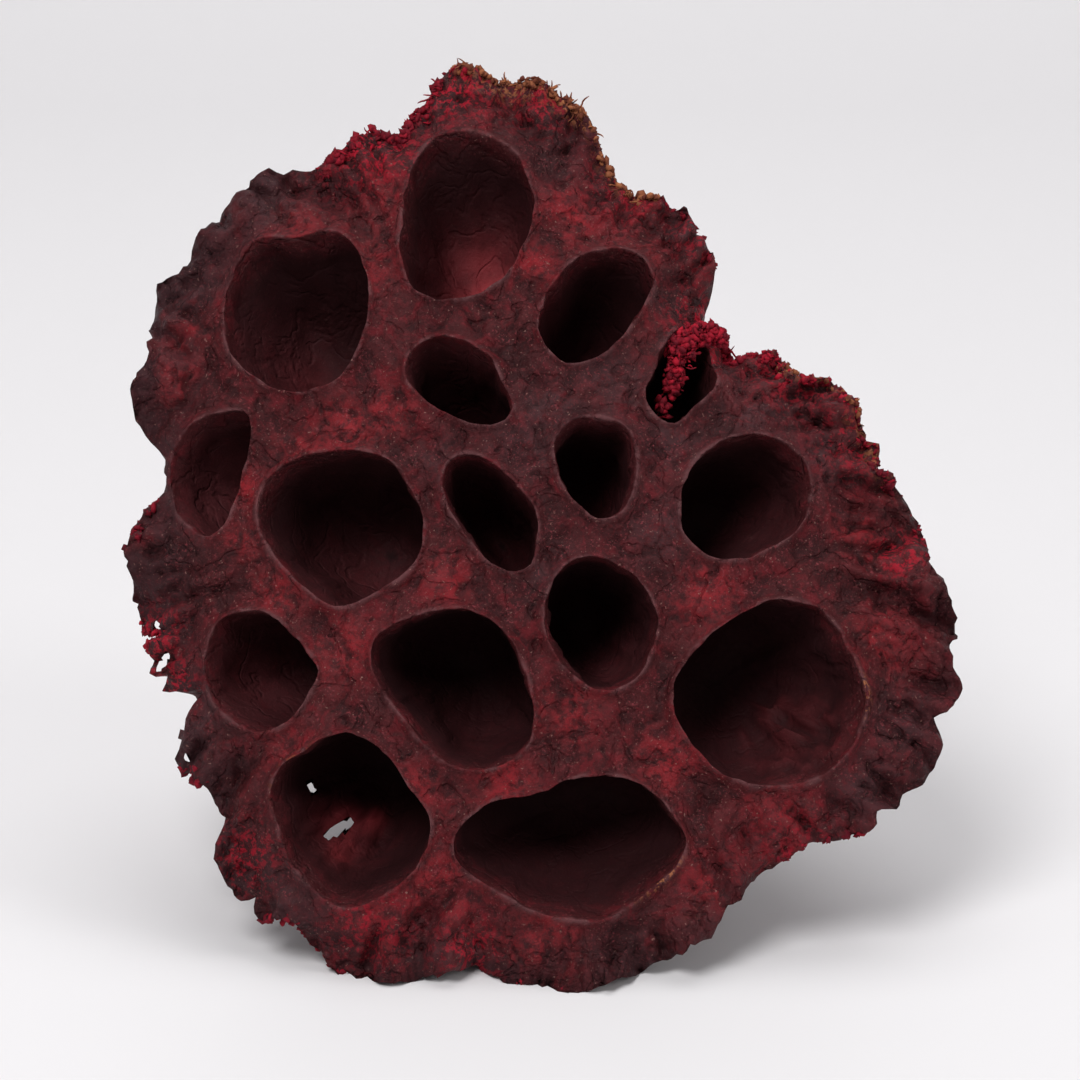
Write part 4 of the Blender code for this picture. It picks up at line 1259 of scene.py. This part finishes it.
# The torn fibres' look: mottling (size and detail, where it starts and is full) and grain (size and
# detail, depth and strength).
MOTTLE_NOISE = (0.9, 4.0)
MOTTLE_LIMITS = (0.3, 0.6)
GRAIN_NOISE = (0.25, 3.0)
GRAIN_BUMP = (0.05, 0.8)
FIBRE_ROUGHNESS = 0.78
FIBRE_SPECULAR = 0.15


def fibre_material(name, bright, deep):
    """Torn dyed fibre: brighter or deeper by the tone of each scrap, which is partly random and partly
    painted shade.
    """
    n = Nodes(name)
    where = n.place()
    mottled = n.maths("MULTIPLY", n.mark("tone_and_shade"), n.between(n.noise(where, *MOTTLE_NOISE), *MOTTLE_LIMITS))
    n.feed(n.surface.inputs["Base Color"], n.mix(mottled, deep, bright))
    n.surface.inputs["Roughness"].default_value = FIBRE_ROUGHNESS
    n.surface.inputs["Specular IOR Level"].default_value = FIBRE_SPECULAR
    n.feed(n.surface.inputs["Normal"], n.bump(n.noise(where, *GRAIN_NOISE), *GRAIN_BUMP))
    return n.material


def object_from(name, points, faces, material):
    mesh = bpy.data.meshes.new(name)
    mesh.from_pydata(np.asarray(points).tolist(), [], faces)
    mesh.materials.append(material)
    piece = bpy.data.objects.new(name, mesh)
    bpy.context.scene.collection.objects.link(piece)
    return piece


# Tears that show light, as they are seen on the face: (u, v), half length, half width, lean in degrees.
OPEN_TEARS = (
    ((-23.9, -40.4), 2.5, 0.62, 29.0), ((-20.5, -36.2), 1.3, 0.34, -70.0), ((-27.6, -35.4), 0.8, 0.34, -70.0),
    ((-47.2, -15.6), 1.1, 0.5, -80.0), ((-46.3, -19.8), 1.5, 0.5, 60.0), ((-43.9, -27.6), 0.9, 0.45, -60.0),
    ((-43.0, -31.8), 0.6, 0.4, -60.0),
)
# How far a point moves at most onto a tear's border.
TEAR_SNAP = 0.34


def seen_by_tears(points, eye):
    """For each tear, where points are seen from its middle, and how far out next to its border."""
    away = points - eye
    seen = eye[:2] + away[:, :2] * (eye[2] / (eye[2] - points[:, 2]))[:, None]
    for place, half_length, half_width, lean in OPEN_TEARS:
        along = polar(lean, 1.0)
        aside = seen - place
        far = np.hypot(aside @ along / half_length, aside @ [-along[1], along[0]] / half_width)
        yield aside, far


def in_open_tear(points, eye):
    """Which points are seen inside a tear from the eye, all in the pod's own frame."""
    torn = np.zeros(len(points), bool)
    for _, far in seen_by_tears(points, eye):
        torn |= far < 1.0
    return torn


def drawn_to_tears(points, eye):
    """The points, with those seen close to a tear's border moved onto it."""
    moved = points.copy()
    for aside, far in seen_by_tears(points, eye):
        step = aside * (1.0 / np.maximum(far, LEAST_REACH) - 1.0)[:, None]
        close = np.linalg.norm(step, axis=1) < TEAR_SNAP
        moved[close, :2] += step[close]
    return moved


def make_skin(material):
    """The pod's fine skin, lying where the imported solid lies, with its resting flats."""
    skin = grow_pod()
    laid = laid_down(skin.points, 0.0)
    middle = (laid.min(axis=0) + laid.max(axis=0)) / 2
    cad_low, cad_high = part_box(NODE)
    target = (np.array(cad_low) + np.array(cad_high)) / 2
    shift = np.array([middle[0] - target[0], middle[1] - target[1], 0.0]) / MM
    eye = (np.array(eye_place(*cad_box)) / MM + shift + [0.0, 0.0, LOWEST + SINK]) @ TURN.T
    points = drawn_to_tears(np.array(skin.points), eye)
    middles = np.array([points[list(face)].mean(axis=0) for face in skin.faces])
    faces = [face for face, torn in zip(skin.faces, in_open_tear(middles, eye)) if not torn]
    piece = object_from("pod_skin", laid_down(points, shift), faces, material)
    mesh = piece.data
    for mark in Skin.MARKS:
        layer = mesh.attributes.new(mark, "FLOAT", "POINT")
        layer.data.foreach_set("value", np.array(skin.marks[mark], np.float32))
    shell = bmesh.new()
    shell.from_mesh(mesh)
    bmesh.ops.recalc_face_normals(shell, faces=shell.faces)
    for vertex in shell.verts:
        vertex.co.z = max(vertex.co.z, 0.0)
    shell.to_mesh(mesh)
    shell.free()
    mesh.shade_smooth()
    return piece, shift


def edge_points(angle, out, back):
    """Points at angles along the edge, moved out from it and back behind it."""
    reach = edge_reach(angle) + edge_teeth(angle)
    height = fine_height(polar(angle, reach - EDGE_INSET))
    return np.column_stack([polar(angle, reach + out), height - back])


def random_turns(rng, count):
    """Even random rotations, as matrices."""
    a, b, c, d = rng.normal(size=(4, count))
    size = np.sqrt(a * a + b * b + c * c + d * d)
    a, b, c, d = a / size, b / size, c / size, d / size
    rows = [[1 - 2 * (c * c + d * d), 2 * (b * c - a * d), 2 * (b * d + a * c)],
            [2 * (b * c + a * d), 1 - 2 * (b * b + d * d), 2 * (c * d - a * b)],
            [2 * (b * d - a * c), 2 * (c * d + a * b), 1 - 2 * (b * b + c * c)]]
    return np.moveaxis(np.array(rows), 2, 0)


def crumbs(rng, places, bright):
    """Small angular scraps of torn pith at places: points, faces and a tone for each point, partly painted
    shade.
    """
    ball = bmesh.new()
    bmesh.ops.create_icosphere(ball, subdivisions=1, radius=1.0)
    corners = np.array([tuple(vertex.co) for vertex in ball.verts])
    sides = np.array([[vertex.index for vertex in face.verts] for face in ball.faces])
    ball.free()
    count = len(places)
    stretch = rng.uniform(*CRUMB_STRETCH, (count, 1, 3)) * rng.uniform(*CRUMB_SIZES, (count, 1, 1))
    lumpy = corners[None] * stretch * CRUMB_SIZE * rng.uniform(*CRUMB_LUMPS, (count, len(corners), 1))
    points = np.einsum("nij,nkj->nki", random_turns(rng, count), lumpy) + places[:, None]
    faces = sides[None] + np.arange(count)[:, None, None] * len(corners)
    tones = np.repeat(rng.uniform(*bright, count), len(corners))
    return points.reshape(-1, 3), faces.reshape(-1, 3), tones


def fibre(rng, start, heading, length):
    """A curly torn fibre: points and faces of a thin tube that tapers to both ends."""
    steps = max(FIBRE_LEAST_STEPS, round(length / FIBRE_STEP))
    heading = np.asarray(heading, float)
    bend = rng.normal(size=3) * FIBRE_FIRST_BEND
    path = [np.asarray(start, float)]
    for _ in range(steps):
        bend = FIBRE_BEND_KEPT * bend + rng.normal(size=3) * FIBRE_BEND
        heading = heading + bend
        heading /= np.linalg.norm(heading)
        path.append(path[-1] + heading * length / steps)
    path = np.array(path)
    along = np.gradient(path, axis=0)
    side = np.cross(along, rng.normal(size=3))
    side /= np.linalg.norm(side, axis=1)[:, None]
    other = np.cross(along, side)
    other /= np.linalg.norm(other, axis=1)[:, None]
    taper = FIBRE_THICKNESS * np.sqrt(np.sin(np.linspace(*FIBRE_TAPER, len(path))))
    ring = np.radians(around(FIBRE_SIDES))
    tube = path[:, None] + taper[:, None, None] * (np.cos(ring)[None, :, None] * side[:, None]
                                                   + np.sin(ring)[None, :, None] * other[:, None])
    faces = []
    for k in range(len(path) - 1):
        for j in range(FIBRE_SIDES):
            here, there = k * FIBRE_SIDES + j, k * FIBRE_SIDES + (j + 1) % FIBRE_SIDES
            faces += [(here, there, there + FIBRE_SIDES), (here, there + FIBRE_SIDES, here + FIBRE_SIDES)]
    last = (len(path) - 1) * FIBRE_SIDES
    faces += [tuple(range(FIBRE_SIDES))[::-1], tuple(range(last, last + FIBRE_SIDES))]
    return tube.reshape(-1, 3), faces


def scraps_object(name, parts, material, shift):
    """One piece from many scraps, each (points, faces, tones)."""
    points, faces, tones = [], [], []
    first = 0
    for some, sides, tone_and_shade in parts:
        points.append(some)
        faces += [tuple(int(i) + first for i in side) for side in sides]
        tones.append(np.broadcast_to(tone_and_shade, (len(some),)))
        first += len(some)
    laid = laid_down(np.concatenate(points), shift)
    laid[:, 2] = np.maximum(laid[:, 2], 0.0)
    piece = object_from(name, laid, faces, material)
    piece.data.shade_smooth()
    layer = piece.data.attributes.new("tone_and_shade", "FLOAT", "POINT")
    layer.data.foreach_set("value", np.concatenate(tones).astype(np.float32))
    return piece


def torn_scraps(rng, runs, clumps):
    """Crumbs along runs of the edge and in clumps inside it."""
    parts = []
    for low, high, count, out, back, bright in runs:
        angle = rng.uniform(low, high, count)
        places = edge_points(angle, rng.uniform(*out, count), rng.uniform(*back, count))
        parts.append(crumbs(rng, places, bright))
    for place, spread, count, bright in clumps:
        about = rng.normal(size=(count, 3))
        about *= (rng.uniform(0.0, 1.0, count)**0.5 / np.linalg.norm(about, axis=1))[:, None]
        places = np.asarray(place) + about * np.asarray(spread)
        parts.append(crumbs(rng, places, bright))
    return parts


def torn_fibres(rng, runs, clumps):
    """Curly fibres that leave the edge along it and stand about in clumps."""
    parts = []
    for low, high, count, length in runs:
        for angle in rng.uniform(low, high, count):
            start = edge_points(np.array([angle]), rng.uniform(*FIBRE_OUT), rng.uniform(*FIBRE_BACK))[0]
            tangent = np.array([*polar(angle + 90.0, 1.0), 0.0])
            heading = tangent * rng.choice([-1.0, 1.0]) + rng.normal(size=3) * FIBRE_SPLAY
            parts.append((*fibre(rng, start, heading, rng.uniform(*length)), rng.uniform(*FIBRE_TONES)))
    for place, spread, count, length in clumps:
        for _ in range(count):
            start = np.asarray(place) + rng.normal(size=3) * np.asarray(spread)
            heading = rng.normal(size=3)
            parts.append((*fibre(rng, start, heading, rng.uniform(*length)), rng.uniform(*FIBRE_TONES)))
    return parts


def make_torn_edges(shift):
    """The bright torn pith and fibres along the edge and in the broken cell."""
    rng = np.random.default_rng(SEED + 1)
    crimson = fibre_material("crimson_pith", CRIMSON, CRIMSON_DEEP)
    tan = fibre_material("tan_fibre", TAN, TAN_DEEP)
    red_crumbs = torn_scraps(rng, CRUMB_RUNS, CRUMB_CLUMPS)
    red_fibres = torn_fibres(rng, RED_FIBRE_RUNS, RED_FIBRE_CLUMPS)
    tan_scraps = torn_scraps(rng, TAN_CRUMB_RUNS, ()) + torn_fibres(rng, TAN_FIBRE_RUNS, ())
    return [scraps_object("crimson_crumbs", red_crumbs, crimson, shift),
            scraps_object("crimson_fibres", red_fibres, crimson, shift),
            scraps_object("tan_fibres", tan_scraps, tan, shift)]


def stage_floor():
    """A pale sweep: floor, bend and backdrop in one sheet."""
    n = Nodes("sweep")
    n.surface.inputs["Base Color"].default_value = SWEEP_COLOUR
    n.surface.inputs["Roughness"].default_value = SWEEP_ROUGHNESS
    profile = [(-SWEEP_REACH, 0.0), (SWEEP_BEND_FROM, 0.0)]
    for k in range(1, SWEEP_BEND_STEPS + 1):
        turn = k / SWEEP_BEND_STEPS * math.pi / 2
        profile.append((SWEEP_BEND_FROM + SWEEP_BEND * math.sin(turn), SWEEP_BEND * (1.0 - math.cos(turn))))
    profile.append((SWEEP_BEND_FROM + SWEEP_BEND, SWEEP_REACH))
    points = []
    for y, z in profile:
        points += [(-SWEEP_REACH, y, z), (SWEEP_REACH, y, z)]
    faces = [(2 * i, 2 * i + 1, 2 * i + 3, 2 * i + 2) for i in range(len(profile) - 1)]
    floor = object_from("sweep", points, faces, n.material)
    floor.data.shade_smooth()


def area_light(name, place, size, power):
    light = bpy.data.lights.new(name, "AREA")
    light.shape = "DISK"
    light.size = size
    light.energy = power
    lamp = bpy.data.objects.new(name, light)
    lamp.location = place
    lamp.rotation_euler = (Vector(LAMP_AIM) - Vector(place)).to_track_quat("-Z", "Y").to_euler()
    bpy.context.scene.collection.objects.link(lamp)


def light_scene():
    """Soft light from above and in front, as a product table has."""
    world = bpy.data.worlds.new("studio")
    bpy.context.scene.world = world
    world.use_nodes = True
    background = world.node_tree.nodes["Background"]
    background.inputs["Color"].default_value = WORLD_COLOUR
    background.inputs["Strength"].default_value = WORLD_STRENGTH
    for lamp in LAMPS:
        area_light(*lamp)
    bpy.context.scene.view_settings.view_transform = "Standard"


def place_camera(lo, hi):
    """The photograph's view of the pod: from the front and a little above."""
    camera = bpy.data.objects.new("camera", bpy.data.cameras.new("camera"))
    camera.data.lens = CAMERA_LENS
    camera.data.sensor_width = SENSOR
    camera.location = eye_place(lo, hi)
    camera.rotation_euler = (-eye_direction()).to_track_quat("-Z", "Y").to_euler()
    bpy.context.scene.collection.objects.link(camera)
    bpy.context.scene.camera = camera


skin_look = skin_material()
pod, pod_shift = make_skin(skin_look)
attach(pod, "root")
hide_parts(NODE)
for scraps in make_torn_edges(pod_shift):
    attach(scraps, "root")
    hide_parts(NODE)

stage_floor()
light_scene()
place_camera(*cad_box)
